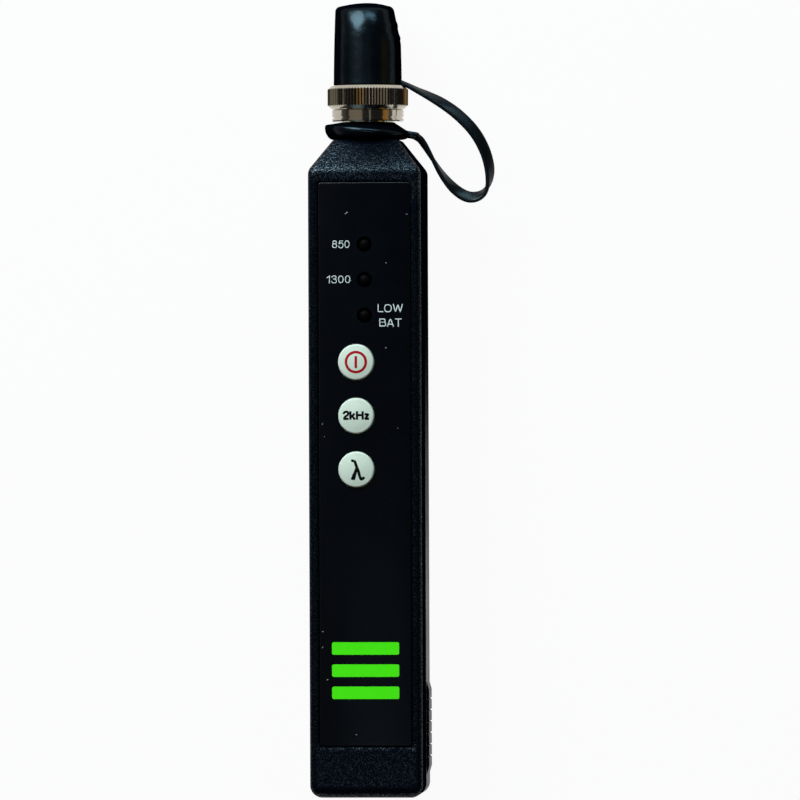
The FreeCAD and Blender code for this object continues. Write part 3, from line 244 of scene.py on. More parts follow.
def rounded_rectangle(centre: Point, half_width: float, half_height: float, corner: float) -> list[Point]:
    """Give the outline of a rectangle with round corners.

    Args:
        centre: its middle.
        half_width: half its width.
        half_height: half its height.
        corner: the corners' radius.

    Returns:
        The outline's points.
    """
    points = []
    for number, (side_x, side_y) in enumerate(((1, 1), (-1, 1), (-1, -1), (1, -1))):
        bend = (centre[0] + side_x * (half_width - corner), centre[1] + side_y * (half_height - corner))
        points += arc(bend, corner, 90 * number, 90 * number + 90, CORNER_STEPS)
    return points


def flat_mesh(name: str, outlines: Sequence[Sequence[Point]], thickness: float, edge: float = 0.0) -> Mesh:
    """Build flat plates from closed outlines in millimetres.

    Args:
        name: the mesh's name.
        outlines: the closed outlines, one for each plate.
        thickness: the plates' thickness.
        edge: the radius of their rounded edges.

    Returns:
        The mesh in metres, half of it each side of zero height.
    """
    curve = bpy.data.curves.new(name, "CURVE")
    curve.dimensions = "2D"
    curve.fill_mode = "BOTH"
    for outline in outlines:
        spline = curve.splines.new("POLY")
        spline.points.add(len(outline) - 1)
        for point, (x, y) in zip(spline.points, outline):
            point.co = (x * MM, y * MM, 0.0, 1.0)
        spline.use_cyclic_u = True
    curve.extrude = (thickness / 2 - edge) * MM
    curve.bevel_depth = edge * MM
    curve.bevel_resolution = EDGE_STEPS
    curve.offset = -edge * MM
    return mesh_of_curve(name, curve)


def lathe(name: str, profile: Sequence[Point], steps: int) -> Mesh:
    """Turn a closed profile round the Y axis.

    Args:
        name: the mesh's name.
        profile: radius and height pairs in millimetres, in order round the section.
        steps: how many steps make the round.

    Returns:
        The mesh in metres, about its own origin.
    """
    work = bmesh.new()
    rings = []
    for step in range(steps):
        turn = math.tau * step / steps
        across = math.cos(turn) * MM
        upward = math.sin(turn) * MM
        rings.append([work.verts.new((radius * across, height * MM, radius * upward))
                      for radius, height in profile])
    for step, ring in enumerate(rings):
        following = rings[(step + 1) % steps]
        for index, point in enumerate(ring):
            beside = (index + 1) % len(ring)
            work.faces.new((point, following[index], following[beside], ring[beside]))
    bmesh.ops.remove_doubles(work, verts=work.verts, dist=MERGE)
    bmesh.ops.recalc_face_normals(work, faces=work.faces)
    return mesh_of_work(name, work)


def joined(name: str, meshes: Sequence[Mesh]) -> Mesh:
    """Put several meshes into one and drop them.

    Args:
        name: the new mesh's name.
        meshes: the meshes.

    Returns:
        The new mesh.
    """
    work = bmesh.new()
    for mesh in meshes:
        work.from_mesh(mesh)
        bpy.data.meshes.remove(mesh)
    return mesh_of_work(name, work)


def carved(name: str, body: Mesh, tool: Mesh) -> Mesh:
    """Cut one mesh out of another and drop both.

    Args:
        name: the new mesh's name.
        body: the mesh that is cut.
        tool: the mesh that cuts it.

    Returns:
        The new mesh.
    """
    block = new_object(body.name, body)
    cutter = new_object(tool.name, tool)
    block.modifiers.new("cut", "BOOLEAN").object = cutter
    mesh = shown_mesh(block, name)
    for used, data in ((block, body), (cutter, tool)):
        bpy.data.objects.remove(used)
        bpy.data.meshes.remove(data)
    return mesh


def middle(node: str) -> Vector:
    """Give the middle of a CAD node's box."""
    low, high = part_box(node)
    return (Vector(low) + Vector(high)) / 2


def top(node: str) -> float:
    """Give the highest Z of a CAD node."""
    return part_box(node)[1][2]


# Finishes


@dataclass(frozen=True)
class Finish(ABC):
    """A surface finish: a material's name, its record slot and its main colours."""

    name: str
    slot: str
    base: str
    fleck: str

    def start(self) -> tuple[Material, NodeTree, Node, NodeSocket]:
        """Make an empty material with its shader and object coordinates.

        Returns:
            The material, its tree, its shader and the coordinate socket.
        """
        material = bpy.data.materials.new(self.name)
        material.use_nodes = True
        tree = material.node_tree
        coords = add_node(tree, "ShaderNodeTexCoord").outputs["Object"]
        return material, tree, tree.nodes["Principled BSDF"], coords

    @abstractmethod
    def material(self) -> Material:
        """Build the material."""

    def mottle(self, tree: NodeTree, shader: Node, pattern: NodeSocket,
               roughness: float, spread: float) -> None:
        """Let a pattern mix the two colours and vary the roughness.

        Args:
            tree: the material's tree.
            shader: the material's shader.
            pattern: the pattern, from nought to one.
            roughness: the roughness at the pattern's middle.
            spread: how far the roughness goes to each side.
        """
        tint = add_node(tree, "ShaderNodeMix",
                        {MIX_SHARE: pattern, MIX_COLOUR_A: srgb(self.base), MIX_COLOUR_B: srgb(self.fleck)},
                        data_type="RGBA")
        gloss = add_node(tree, "ShaderNodeMapRange",
                         {"Value": pattern, "To Min": roughness - spread, "To Max": roughness + spread})
        feed(tree, shader.inputs["Base Color"], tint.outputs[MIXED_COLOUR])
        feed(tree, shader.inputs["Roughness"], gloss.outputs["Result"])


@dataclass(frozen=True)
class WearAndPaintedShade:
    """Gloss on the grain's crests, painted into a band some way out from the neck: the dim gloss close to the
    neck is painted shadow of the collar, and the band paints the shoulder's highlight.
    """

    # The band's centre, set right of the port axis so that the left of the shoulder is painted brighter
    neck_mm: tuple[float, float, float] = (2.5, 70.4, 18.0)
    collar_shade_mm: float = 5.0
    shine_from_mm: float = 12.5
    collar_shade_share: float = 0.1
    shine_to_mm: float = 15.5
    shine_end_mm: float = 18.0
    far_share: float = 0.3
    valley_share: float = 0.7
    crest_share: float = 22.0
    crest_from: float = 0.5
    crest_to: float = 0.72

    def polish(self, tree: NodeTree, coords: NodeSocket, grain: NodeSocket,
               sheen: float | NodeSocket) -> NodeSocket:
        """Let the grain's crests shine: less so close to the neck, as painted shadow, and far off, which
        leaves a painted highlight band.

        Args:
            tree: the material's tree.
            coords: the object coordinates.
            grain: the grain's height.
            sheen: the gloss that the crests and valleys share.

        Returns:
            The gloss with its specks.
        """
        neck = tuple(value * MM for value in self.neck_mm)
        reach = add_node(tree, "ShaderNodeVectorMath", {0: coords, 1: neck},
                         operation="DISTANCE").outputs["Value"]
        # Painted shadow of the collar: the gloss stays low close to the neck
        near = add_node(tree, "ShaderNodeMapRange",
                        {"Value": reach, "From Min": self.collar_shade_mm * MM, "From Max": self.shine_from_mm * MM,
                         "To Min": self.collar_shade_share, "To Max": 1.0})
        # Painted highlight band: the gloss fades further off
        far = add_node(tree, "ShaderNodeMapRange",
                       {"Value": reach, "From Min": self.shine_to_mm * MM, "From Max": self.shine_end_mm * MM,
                        "To Min": 1.0, "To Max": self.far_share})
        crest = add_node(tree, "ShaderNodeMapRange",
                         {"Value": grain, "From Min": self.crest_from, "From Max": self.crest_to,
                          "To Min": self.valley_share, "To Max": self.crest_share})
        for share in (near, far, crest):
            sheen = add_node(tree, "ShaderNodeMath", {0: sheen, 1: share.outputs["Result"]},
                             operation="MULTIPLY").outputs[0]
        return sheen


@dataclass(frozen=True)
class Moulded(Finish):
    """A moulded plastic or rubber: tone drift, a tool-surface grain and the gloss that goes with it."""

    grain_mm: float = 0.4
    grain_depth_mm: float = 0.01
    grain_detail: float = 2.0
    grain_roughness: float = 0.6
    drift_mm: float = 9.0
    drift_detail: float = 4.0
    roughness: float = 0.5
    roughness_spread: float = 0.08
    specular: float = 0.5
    # A tint painted into the reflections, standing in for the colour of the light
    reflection_tint: str = WHITE
    sag_mm: float | None = None
    round_mm: float | None = None
    round_samples: int = 8
    edge_share: float = 1.0
    edge_from: float = 0.9
    edge_to: float = 0.99
    grazing_share: float = 1.0
    grazing_from: float = 0.3
    grazing_to: float = 0.85
    # A painted reflection: the gloss at a low view rises along Y from the dim end to the bright end
    sheen_ramp_mm: Point | None = None
    sheen_ramp_rise: float = 6.6
    wear_and_shade: WearAndPaintedShade | None = None
    seam_z_mm: float | None = None
    seam_half_mm: float = 0.16
    seam_depth_mm: float = 0.25

    def seam(self, tree: NodeTree, coords: NodeSocket, normal: NodeSocket) -> NodeSocket:
        """Add the fine groove that two shells leave where they meet.

        Args:
            tree: the material's tree.
            coords: the object coordinates.
            normal: the normal that carries the grain.

        Returns:
            The normal with the groove added.
        """
        height = add_node(tree, "ShaderNodeSeparateXYZ", {0: coords}).outputs["Z"]
        away = add_node(tree, "ShaderNodeMath", {0: height, 1: self.seam_z_mm * MM}, operation="SUBTRACT")
        reach = add_node(tree, "ShaderNodeMath", {0: away.outputs[0]}, operation="ABSOLUTE")
        groove = add_node(tree, "ShaderNodeMapRange",
                          {"Value": reach.outputs[0], "From Max": self.seam_half_mm * MM})
        bump = add_node(tree, "ShaderNodeBump", {"Height": groove.outputs["Result"], "Normal": normal,
                                                 "Distance": self.seam_depth_mm * MM})
        return bump.outputs["Normal"]

    def relief(self, tree: NodeTree, coords: NodeSocket, drift: NodeSocket, grain: NodeSocket) -> NodeSocket:
        """Give the surface its grain, over a slow sag or softened edges, and its seam.

        Args:
            tree: the material's tree.
            coords: the object coordinates.
            drift: the slow pattern that the sag follows.
            grain: the grain's height.

        Returns:
            The normal.
        """
        bump = add_node(tree, "ShaderNodeBump", {"Height": grain, "Distance": self.grain_depth_mm * MM})
        if self.sag_mm is not None:
            wave = add_node(tree, "ShaderNodeBump", {"Height": drift, "Distance": self.sag_mm * MM})
            feed(tree, bump.inputs["Normal"], wave.outputs["Normal"])
        if self.round_mm is not None:
            soft = add_node(tree, "ShaderNodeBevel", {"Radius": self.round_mm * MM},
                            samples=self.round_samples)
            feed(tree, bump.inputs["Normal"], soft.outputs["Normal"])
        if self.seam_z_mm is None:
            return bump.outputs["Normal"]
        return self.seam(tree, coords, bump.outputs["Normal"])

    def bright_end(self, tree: NodeTree, coords: NodeSocket) -> NodeSocket:
        """Let the gloss at a low view grow along Y towards the bright end, a painted reflection.

        Args:
            tree: the material's tree.
            coords: the object coordinates.

        Returns:
            The gloss at a low view.
        """
        along = add_node(tree, "ShaderNodeSeparateXYZ", {0: coords}).outputs["Y"]
        bright_end, dim_end = self.sheen_ramp_mm
        share = add_node(tree, "ShaderNodeMapRange",
                         {"Value": along, "From Min": dim_end * MM, "From Max": bright_end * MM})
        rise = add_node(tree, "ShaderNodeMath", {0: share.outputs["Result"], 1: self.sheen_ramp_rise},
                        operation="POWER")
        return add_node(tree, "ShaderNodeMath", {0: rise.outputs[0], 1: self.specular * self.grazing_share},
                        operation="MULTIPLY").outputs[0]

    def low_view(self, tree: NodeTree, coords: NodeSocket) -> NodeSocket:
        """Let the gloss fade or grow towards a low view.

        Args:
            tree: the material's tree.
            coords: the object coordinates.

        Returns:
            The gloss for each angle of view.
        """
        grazing = self.specular * self.grazing_share if self.sheen_ramp_mm is None else self.bright_end(tree, coords)
        facing = add_node(tree, "ShaderNodeLayerWeight").outputs["Facing"]
        return add_node(tree, "ShaderNodeMapRange",
                        {"Value": facing, "From Min": self.grazing_from, "From Max": self.grazing_to,
                         "To Min": self.specular, "To Max": grazing}).outputs["Result"]

    def cut_edge(self, tree: NodeTree, sheen: float | NodeSocket) -> NodeSocket:
        """Let a sheet's cut edges shine, where the clear body lies bare.

        Args:
            tree: the material's tree.
            sheen: the gloss of the sheet's face.

        Returns:
            The gloss of face and edges.
        """
        normal = add_node(tree, "ShaderNodeNewGeometry").outputs["Normal"]
        upright = add_node(tree, "ShaderNodeSeparateXYZ", {0: normal}).outputs["Z"]
        share = add_node(tree, "ShaderNodeMapRange",
                         {"Value": upright, "From Min": self.edge_from, "From Max": self.edge_to,
                          "To Min": self.edge_share, "To Max": 1.0}).outputs["Result"]
        return add_node(tree, "ShaderNodeMath", {0: sheen, 1: share}, operation="MULTIPLY").outputs[0]

    def shine(self, tree: NodeTree, coords: NodeSocket, grain: NodeSocket) -> float | NodeSocket:
        """Give the gloss: plain, or changed by the angle of view, by cut edges and by worn grain with painted
        shade and highlight.

        Args:
            tree: the material's tree.
            coords: the object coordinates.
            grain: the grain's height.

        Returns:
            The gloss, as a number where it is the same all over.
        """
        sheen: float | NodeSocket = self.specular
        if self.grazing_share != 1.0:
            sheen = self.low_view(tree, coords)
        if self.edge_share != 1.0:
            sheen = self.cut_edge(tree, sheen)
        if self.wear_and_shade is not None:
            sheen = self.wear_and_shade.polish(tree, coords, grain, sheen)
        return sheen

    def material(self) -> Material:
        """Build the material.

        Returns:
            The finished material.
        """
        material, tree, shader, coords = self.start()
        drift = add_node(tree, "ShaderNodeTexNoise", {"Vector": coords, "Scale": per_mm(self.drift_mm),
                                                      "Detail": self.drift_detail}).outputs["Fac"]
        grain = add_node(tree, "ShaderNodeTexNoise", {"Vector": coords, "Scale": per_mm(self.grain_mm),
                                                      "Detail": self.grain_detail,
                                                      "Roughness": self.grain_roughness}).outputs["Fac"]
        self.mottle(tree, shader, drift, self.roughness, self.roughness_spread)
        feed(tree, shader.inputs["Normal"], self.relief(tree, coords, drift, grain))
        feed(tree, shader.inputs["Specular IOR Level"], self.shine(tree, coords, grain))
        # The reflections get the tint painted in for cool light
        shader.inputs["Specular Tint"].default_value = srgb(self.reflection_tint)
        return material


@dataclass(frozen=True)
class Turned(Finish):
    """A turned or drawn metal: fine tool marks round the port axis and patches of tarnish."""

    # Real tool marks, about a tenth of a millimetre apart, would be too fine to show: these are coarser
    mark_mm: float = 0.4935
    mark_depth_mm: float = 0.0006
    mark_sway: float = 0.6
    mark_detail: float = 2.0
    patch_mm: float = 3.0
    patch_detail: float = 5.0
    roughness: float = 0.2
    roughness_spread: float = 0.05
    # The colour of the shade painted into the grooves, and how far it reaches
    groove_shade: str = "#0d0a06"
    groove_shade_mm: float | None = None
    groove_shade_from: float = 0.55
    groove_shade_to: float = 0.95

    def paint_groove_shade(self, tree: NodeTree, shader: Node) -> None:
        """Paint shade in the grooves, darker where little of the sky is seen.

        Args:
            tree: the material's tree.
            shader: the shader whose colour gets the painted shade.
        """
        unshaded = shader.inputs["Base Color"].links[0].from_socket
        sky = add_node(tree, "ShaderNodeAmbientOcclusion", {"Distance": self.groove_shade_mm * MM}, only_local=True)
        share = add_node(tree, "ShaderNodeMapRange",
                         {"Value": sky.outputs["AO"], "From Min": self.groove_shade_from, "From Max": self.groove_shade_to})
        tint = add_node(tree, "ShaderNodeMix", {MIX_SHARE: share.outputs["Result"],
                                                MIX_COLOUR_A: srgb(self.groove_shade), MIX_COLOUR_B: unshaded},
                        data_type="RGBA")
        feed(tree, shader.inputs["Base Color"], tint.outputs[MIXED_COLOUR])

    def material(self) -> Material:
        """Build the material.

        Returns:
            The finished material.
        """
        material, tree, shader, coords = self.start()
        patch = add_node(tree, "ShaderNodeTexNoise", {"Vector": coords, "Scale": per_mm(self.patch_mm),
                                                      "Detail": self.patch_detail}).outputs["Fac"]
        self.mottle(tree, shader, patch, self.roughness, self.roughness_spread)
        marks = add_node(tree, "ShaderNodeTexWave",
                         {"Vector": coords, "Scale": per_mm(self.mark_mm) * math.tau / WAVE_RATE,
                          "Distortion": self.mark_sway, "Detail": self.mark_detail},
                         wave_type="BANDS", bands_direction="Y")
        bump = add_node(tree, "ShaderNodeBump",
                        {"Height": marks.outputs["Fac"], "Distance": self.mark_depth_mm * MM})
        feed(tree, shader.inputs["Normal"], bump.outputs["Normal"])
        shader.inputs["Metallic"].default_value = 1.0
        if self.groove_shade_mm is not None:
            self.paint_groove_shade(tree, shader)
        return material


# The height of the plane where the two shells meet
SEAM_Z = 11.0
# ABS, spark-eroded tool: a deep navy black whose coarse grain breaks highlights into specks; its reflections
# carry a painted blue tint, and its gloss is painted into a band round the port's neck, with painted shade
# close to the neck
CASE_ABS = Moulded("abs_spark_grained", "case_plastic", "#02050b", "#050911",
                   grain_mm=0.3, grain_depth_mm=0.03, round_mm=2.0, roughness=0.27, specular=0.1,
                   reflection_tint="#d2eaf6", grazing_share=0.0, wear_and_shade=WearAndPaintedShade(), seam_z_mm=SEAM_Z)
# ABS, finer tool on the back half: the same black, glossier at a low view, with that gloss painted stronger
# towards the bottom end as a painted reflection
BACK_ABS = Moulded("abs_fine_grained", "case_plastic", "#03060b", "#060a11",
                   grain_mm=0.35, grain_depth_mm=0.06, roughness=0.36, specular=0.12, grazing_share=0.4,
                   grazing_from=0.2, grazing_to=0.6, sheen_ramp_mm=(-28.0, 45.0), seam_z_mm=SEAM_Z)
# Polycarbonate film, printed on the back: flat near-black ink seen through a smooth skin
PANEL_FILM = Moulded("polycarbonate_back_printed", "panel_film", "#010206", "#02050a",
                     grain_mm=0.25, grain_depth_mm=0.001, drift_mm=14.0, roughness=0.28, specular=0.1,
                     edge_share=4.4)
# ABS keys, polished tool: pale grey-green plastic that handling has left a little uneven
KEY_ABS = Moulded("abs_key_moulded", "key_plastic", "#dee4d1", "#d2dbc5",
                  grain_mm=0.25, grain_depth_mm=0.004, drift_mm=2.5, roughness=0.42, specular=0.3)
# Epoxy, cast and tinted: a small dome, almost black until its chip lights it
LAMP_EPOXY = Moulded("epoxy_cast_tinted", "lamp_resin", "#040304", "#080607",
                     grain_mm=0.8, grain_depth_mm=0.001, drift_mm=1.5, roughness=0.5, specular=0.03)
# Plasticised PVC, moulded: soft satin black that shines only where it bends towards the light, with a blue
# tint painted into its reflections for cool light
CAP_PVC = Moulded("pvc_soft_moulded", "cap_rubber", "#020407", "#04060a",
                  grain_mm=0.8, grain_depth_mm=0.004, drift_mm=5.0, sag_mm=0.25, roughness=0.25,
                  specular=0.44, reflection_tint="#bfe6f4", grazing_share=0.0, grazing_from=0.05, grazing_to=0.42)
# The same PVC, flexed in use: a greyer, duller black whose bends catch broad soft light, with a pale
# blue-green tint painted into its reflections
STRAP_PVC = Moulded("pvc_soft_flexed", "cap_rubber", "#03060a", "#070b0f",
                    grain_mm=0.8, grain_depth_mm=0.004, drift_mm=5.0, roughness=0.3, specular=0.24,
                    reflection_tint="#e0f4f4", grazing_share=0.0)
# Nylon, glass filled: dull black with a slightly fibrous surface
SWITCH_NYLON = Moulded("nylon_glass_filled", "switch_plastic", "#101010", "#1b1b1a",
                       grain_mm=0.15, grain_depth_mm=0.006, drift_mm=1.2, roughness=0.55)
# Glass laminate under solder mask: a green varnish over a faint weave
BOARD_LAMINATE = Moulded("glass_laminate_masked", "board_laminate", "#0b4a25", "#12602f",
                         grain_mm=0.5, grain_depth_mm=0.004, drift_mm=3.0, roughness=0.3)
# Zirconia, sintered and ground: white with a soft sheen
SLEEVE_ZIRCONIA = Moulded("zirconia_ground", "sleeve_ceramic", "#e9e6da", "#dedacb",
                          grain_mm=0.1, grain_depth_mm=0.001, drift_mm=1.0, roughness=0.25)
# Steel cell jacket, printed plain: dark lacquer with slight handling marks
CELL_JACKET = Moulded("steel_jacket_lacquered", "cell_jacket", "#26282c", "#303338",
                      grain_mm=0.3, grain_depth_mm=0.002, drift_mm=6.0, roughness=0.3)
# PVC wire cover, extruded: smooth black sleeve
LEAD_PVC = Moulded("pvc_extruded", "wire_jacket", "#0d0d0e", "#151516",
                   grain_mm=0.2, grain_depth_mm=0.002, drift_mm=3.0, roughness=0.4)
# Brass, turned and nickel plated: a slightly warm grey mirror, with the tool's rings under the plating
PORT_NICKEL = Turned("brass_nickel_plated", "plated_brass", "#c2bcae", "#a89f8c", roughness=0.12)
# The same plating on the knurled ring: duller by touch, with painted shade as dark lines between the teeth
RING_NICKEL = Turned("brass_nickel_knurled", "plated_brass", "#c2bcae", "#a89f8c",
                     roughness=0.15, groove_shade_mm=0.5)
# Steel, plated: cool bright metal of screws, springs and leads
BRIGHT_STEEL = Turned("steel_zinc_plated", "bright_steel", "#b9bcc0", "#a3a6a8", roughness=0.3)
# Screen inks: a thin matt layer that sits on the surface
WHITE_INK = Moulded("ink_white_screened", "panel_film", "#e0e5df", "#d0d7d1",
                    grain_mm=0.12, grain_depth_mm=0.002, drift_mm=0.8, roughness=0.6, specular=0.2)
GREEN_INK = Moulded("ink_green_screened", "panel_film", "#50fd01", "#4cf401",
                    grain_mm=0.12, grain_depth_mm=0.002, drift_mm=3.0, roughness=0.6, specular=0.2)
RED_INK = Moulded("ink_red_screened", "key_plastic", "#b4101c", "#a20d18",
                  grain_mm=0.12, grain_depth_mm=0.002, drift_mm=0.8, roughness=0.6, specular=0.1)
BLACK_INK = Moulded("ink_black_screened", "key_plastic", "#020203", "#050506",
                    grain_mm=0.12, grain_depth_mm=0.002, drift_mm=0.8, roughness=0.6, specular=0.08)
# Lint and skin dust: pale matt flecks that have settled on the front
DUST_LINT = Moulded("dust_settled", "panel_film", "#a9b0ad", "#7f8785",
                    grain_mm=0.1, grain_depth_mm=0.01, drift_mm=0.3, roughness=0.9, specular=0.1)


class Paintbox:
    """Keeps one material for each finish and puts it on CAD nodes and new pieces."""

    def __init__(self) -> None:
        """Start with no materials made."""
        self.made: dict[str, Material] = {}

    def material(self, finish: Finish) -> Material:
        """Give the finish's material, made on first use.

        Args:
            finish: the finish.

        Returns:
            Its one material.
        """
        if finish.name not in self.made:
            self.made[finish.name] = finish.material()
        return self.made[finish.name]

    def dress(self, finish: Finish, *nodes: str) -> None:
        """Put a finish on CAD nodes.

        Args:
            finish: the finish.
            nodes: the nodes' names.
        """
        for node in nodes:
            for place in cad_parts[node].material_slots:
                place.material = self.material(finish)
            LOG.info("%s: %s", node, finish.name)

    def coat(self, piece: Object, finish: Finish, body: Body | None = None) -> None:
        """Put a finish on a new piece and let it ride on a body.

        Args:
            piece: the new piece.
            finish: its finish.
            body: the body it rides on, or nothing for a piece that bends between bodies.
        """
        piece.data.materials.append(self.material(finish))
        if body is not None:
            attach(piece, body.value)
        LOG.info("%s: %s, %d faces", piece.name, finish.name, len(piece.data.polygons))


# Lettering


class Stroke(Enum):
    """How a pen stroke runs along its points: the spline's order and whether it closes."""

    LINE = (2, False)
    BEND = (3, False)
    LOOP = (3, True)


LETTER_GAP = 0.09
PEN_STEPS = 6
SIGN_CORNERS = 8
SIGN_RADIUS = 0.45
# A smooth closed stroke touches its polygon's sides in their middles, which lie at that radius
SIGN_RING = tuple(circle((0.5, 0.5), SIGN_RADIUS / math.cos(math.pi / SIGN_CORNERS), SIGN_CORNERS))
# Each letter's width and the middle lines of its strokes, in shares of a capital's height
GLYPHS: dict[str, tuple[float, tuple[tuple[Stroke, tuple[Point, ...]], ...]]] = {
    "0": (0.76, ((Stroke.LOOP, ((0.1, 0.08), (0.66, 0.08), (0.66, 0.92), (0.1, 0.92))),)),
    "1": (0.56, ((Stroke.LINE, ((0.46, 0.0), (0.46, 1.0))),
                 (Stroke.BEND, ((0.44, 0.9), (0.36, 0.76), (0.1, 0.68))))),
    "2": (0.76, ((Stroke.BEND, ((0.11, 0.66), (0.12, 0.92), (0.66, 0.96), (0.66, 0.54),
                                (0.3, 0.4), (0.13, 0.12))),
                 (Stroke.LINE, ((0.04, 0.1), (0.72, 0.1))))),
    "3": (0.76, ((Stroke.BEND, ((0.1, 0.7), (0.14, 0.92), (0.64, 0.96), (0.64, 0.54), (0.26, 0.53))),
                 (Stroke.BEND, ((0.26, 0.53), (0.68, 0.56), (0.68, 0.06), (0.12, 0.04), (0.08, 0.3))))),
    "5": (0.76, ((Stroke.LINE, ((0.68, 0.9), (0.2, 0.9), (0.14, 0.5))),
                 (Stroke.BEND, ((0.13, 0.48), (0.28, 0.68), (0.68, 0.66), (0.68, 0.06),
                                (0.14, 0.02), (0.08, 0.3))))),
    "8": (0.76, ((Stroke.LOOP, ((0.13, 0.54), (0.63, 0.54), (0.63, 0.92), (0.13, 0.92))),
                 (Stroke.LOOP, ((0.09, 0.08), (0.67, 0.08), (0.67, 0.54), (0.09, 0.54))))),
    "A": (1.0, ((Stroke.LINE, ((0.09, 0.0), (0.5, 0.96), (0.91, 0.0))),
                (Stroke.LINE, ((0.24, 0.3), (0.76, 0.3))))),
    "B": (0.88, ((Stroke.LINE, ((0.1, 0.0), (0.1, 1.0))),
                 (Stroke.BEND, ((0.1, 0.91), (0.5, 0.91), (0.78, 0.91), (0.78, 0.53),
                                (0.5, 0.53), (0.1, 0.53))),
                 (Stroke.BEND, ((0.1, 0.53), (0.5, 0.53), (0.84, 0.53), (0.84, 0.09),
                                (0.5, 0.09), (0.1, 0.09))))),
    "H": (0.92, ((Stroke.LINE, ((0.1, 0.0), (0.1, 1.0))),
                 (Stroke.LINE, ((0.82, 0.0), (0.82, 1.0))),
                 (Stroke.LINE, ((0.1, 0.53), (0.82, 0.53))))),
    "L": (0.76, ((Stroke.LINE, ((0.1, 1.0), (0.1, 0.09), (0.76, 0.09))),)),
    "O": (1.04, ((Stroke.LOOP, ((0.09, 0.08), (0.95, 0.08), (0.95, 0.92), (0.09, 0.92))),)),
    "T": (0.86, ((Stroke.LINE, ((0.0, 0.91), (0.86, 0.91))),
                 (Stroke.LINE, ((0.43, 0.91), (0.43, 0.0))))),
    "W": (1.34, ((Stroke.LINE, ((0.07, 1.0), (0.37, 0.05), (0.67, 0.95), (0.97, 0.05), (1.27, 1.0))),)),
    "k": (0.74, ((Stroke.LINE, ((0.1, 0.0), (0.1, 1.0))),
                 (Stroke.LINE, ((0.64, 0.72), (0.12, 0.26))),
                 (Stroke.LINE, ((0.32, 0.46), (0.66, 0.0))))),
    "z": (0.64, ((Stroke.LINE, ((0.04, 0.63), (0.52, 0.63), (0.12, 0.1), (0.6, 0.1))),)),
    "lambda": (0.7, ((Stroke.BEND, ((0.03, 0.96), (0.2, 0.98), (0.26, 0.76), (0.4, 0.42),
                                    (0.48, 0.04), (0.58, 0.02), (0.68, 0.14))),
                     (Stroke.LINE, ((0.31, 0.6), (0.06, 0.0))),
                     (Stroke.LINE, ((0.31, 0.6), (0.14, 0.0))))),
    "power": (1.0, ((Stroke.LOOP, SIGN_RING),
                    (Stroke.LINE, ((0.5, 0.23), (0.5, 0.77))))),
}


@dataclass(frozen=True)
class Legend:
    """Print made of pen strokes: its letters, its place on the face below it and its size."""

    name: str
    letters: Sequence[str]
    x: float
    y: float
    width: float
    height: float
    stroke: float
    ink: float = 0.03

    def mesh(self) -> Mesh:
        """Build the print, centred on its own origin.

        Returns:
            The mesh in metres.
        """
        curve = bpy.data.curves.new(self.name, "CURVE")
        curve.dimensions = "3D"
        curve.bevel_depth = self.stroke / 2 * MM
        curve.bevel_resolution = EDGE_STEPS
        curve.use_fill_caps = True
        total = sum(GLYPHS[letter][0] + LETTER_GAP for letter in self.letters) - LETTER_GAP
        across = self.width / total
        pen = -total / 2
        for letter in self.letters:
            advance, strokes = GLYPHS[letter]
            for kind, points in strokes:
                spline = curve.splines.new("NURBS")
                spline.points.add(len(points) - 1)
                for point, (x, y) in zip(spline.points, points):
                    point.co = ((pen + x) * across * MM, (y - 0.5) * self.height * MM, 0.0, 1.0)
                spline.order_u, spline.use_cyclic_u = kind.value
                spline.use_endpoint_u = not spline.use_cyclic_u
                spline.resolution_u = PEN_STEPS
            pen += advance + LETTER_GAP
        mesh = mesh_of_curve(self.name, curve)
        mesh.transform(Matrix.Diagonal((1.0, 1.0, self.ink / self.stroke, 1.0)))
        return mesh


# Sub-assemblies


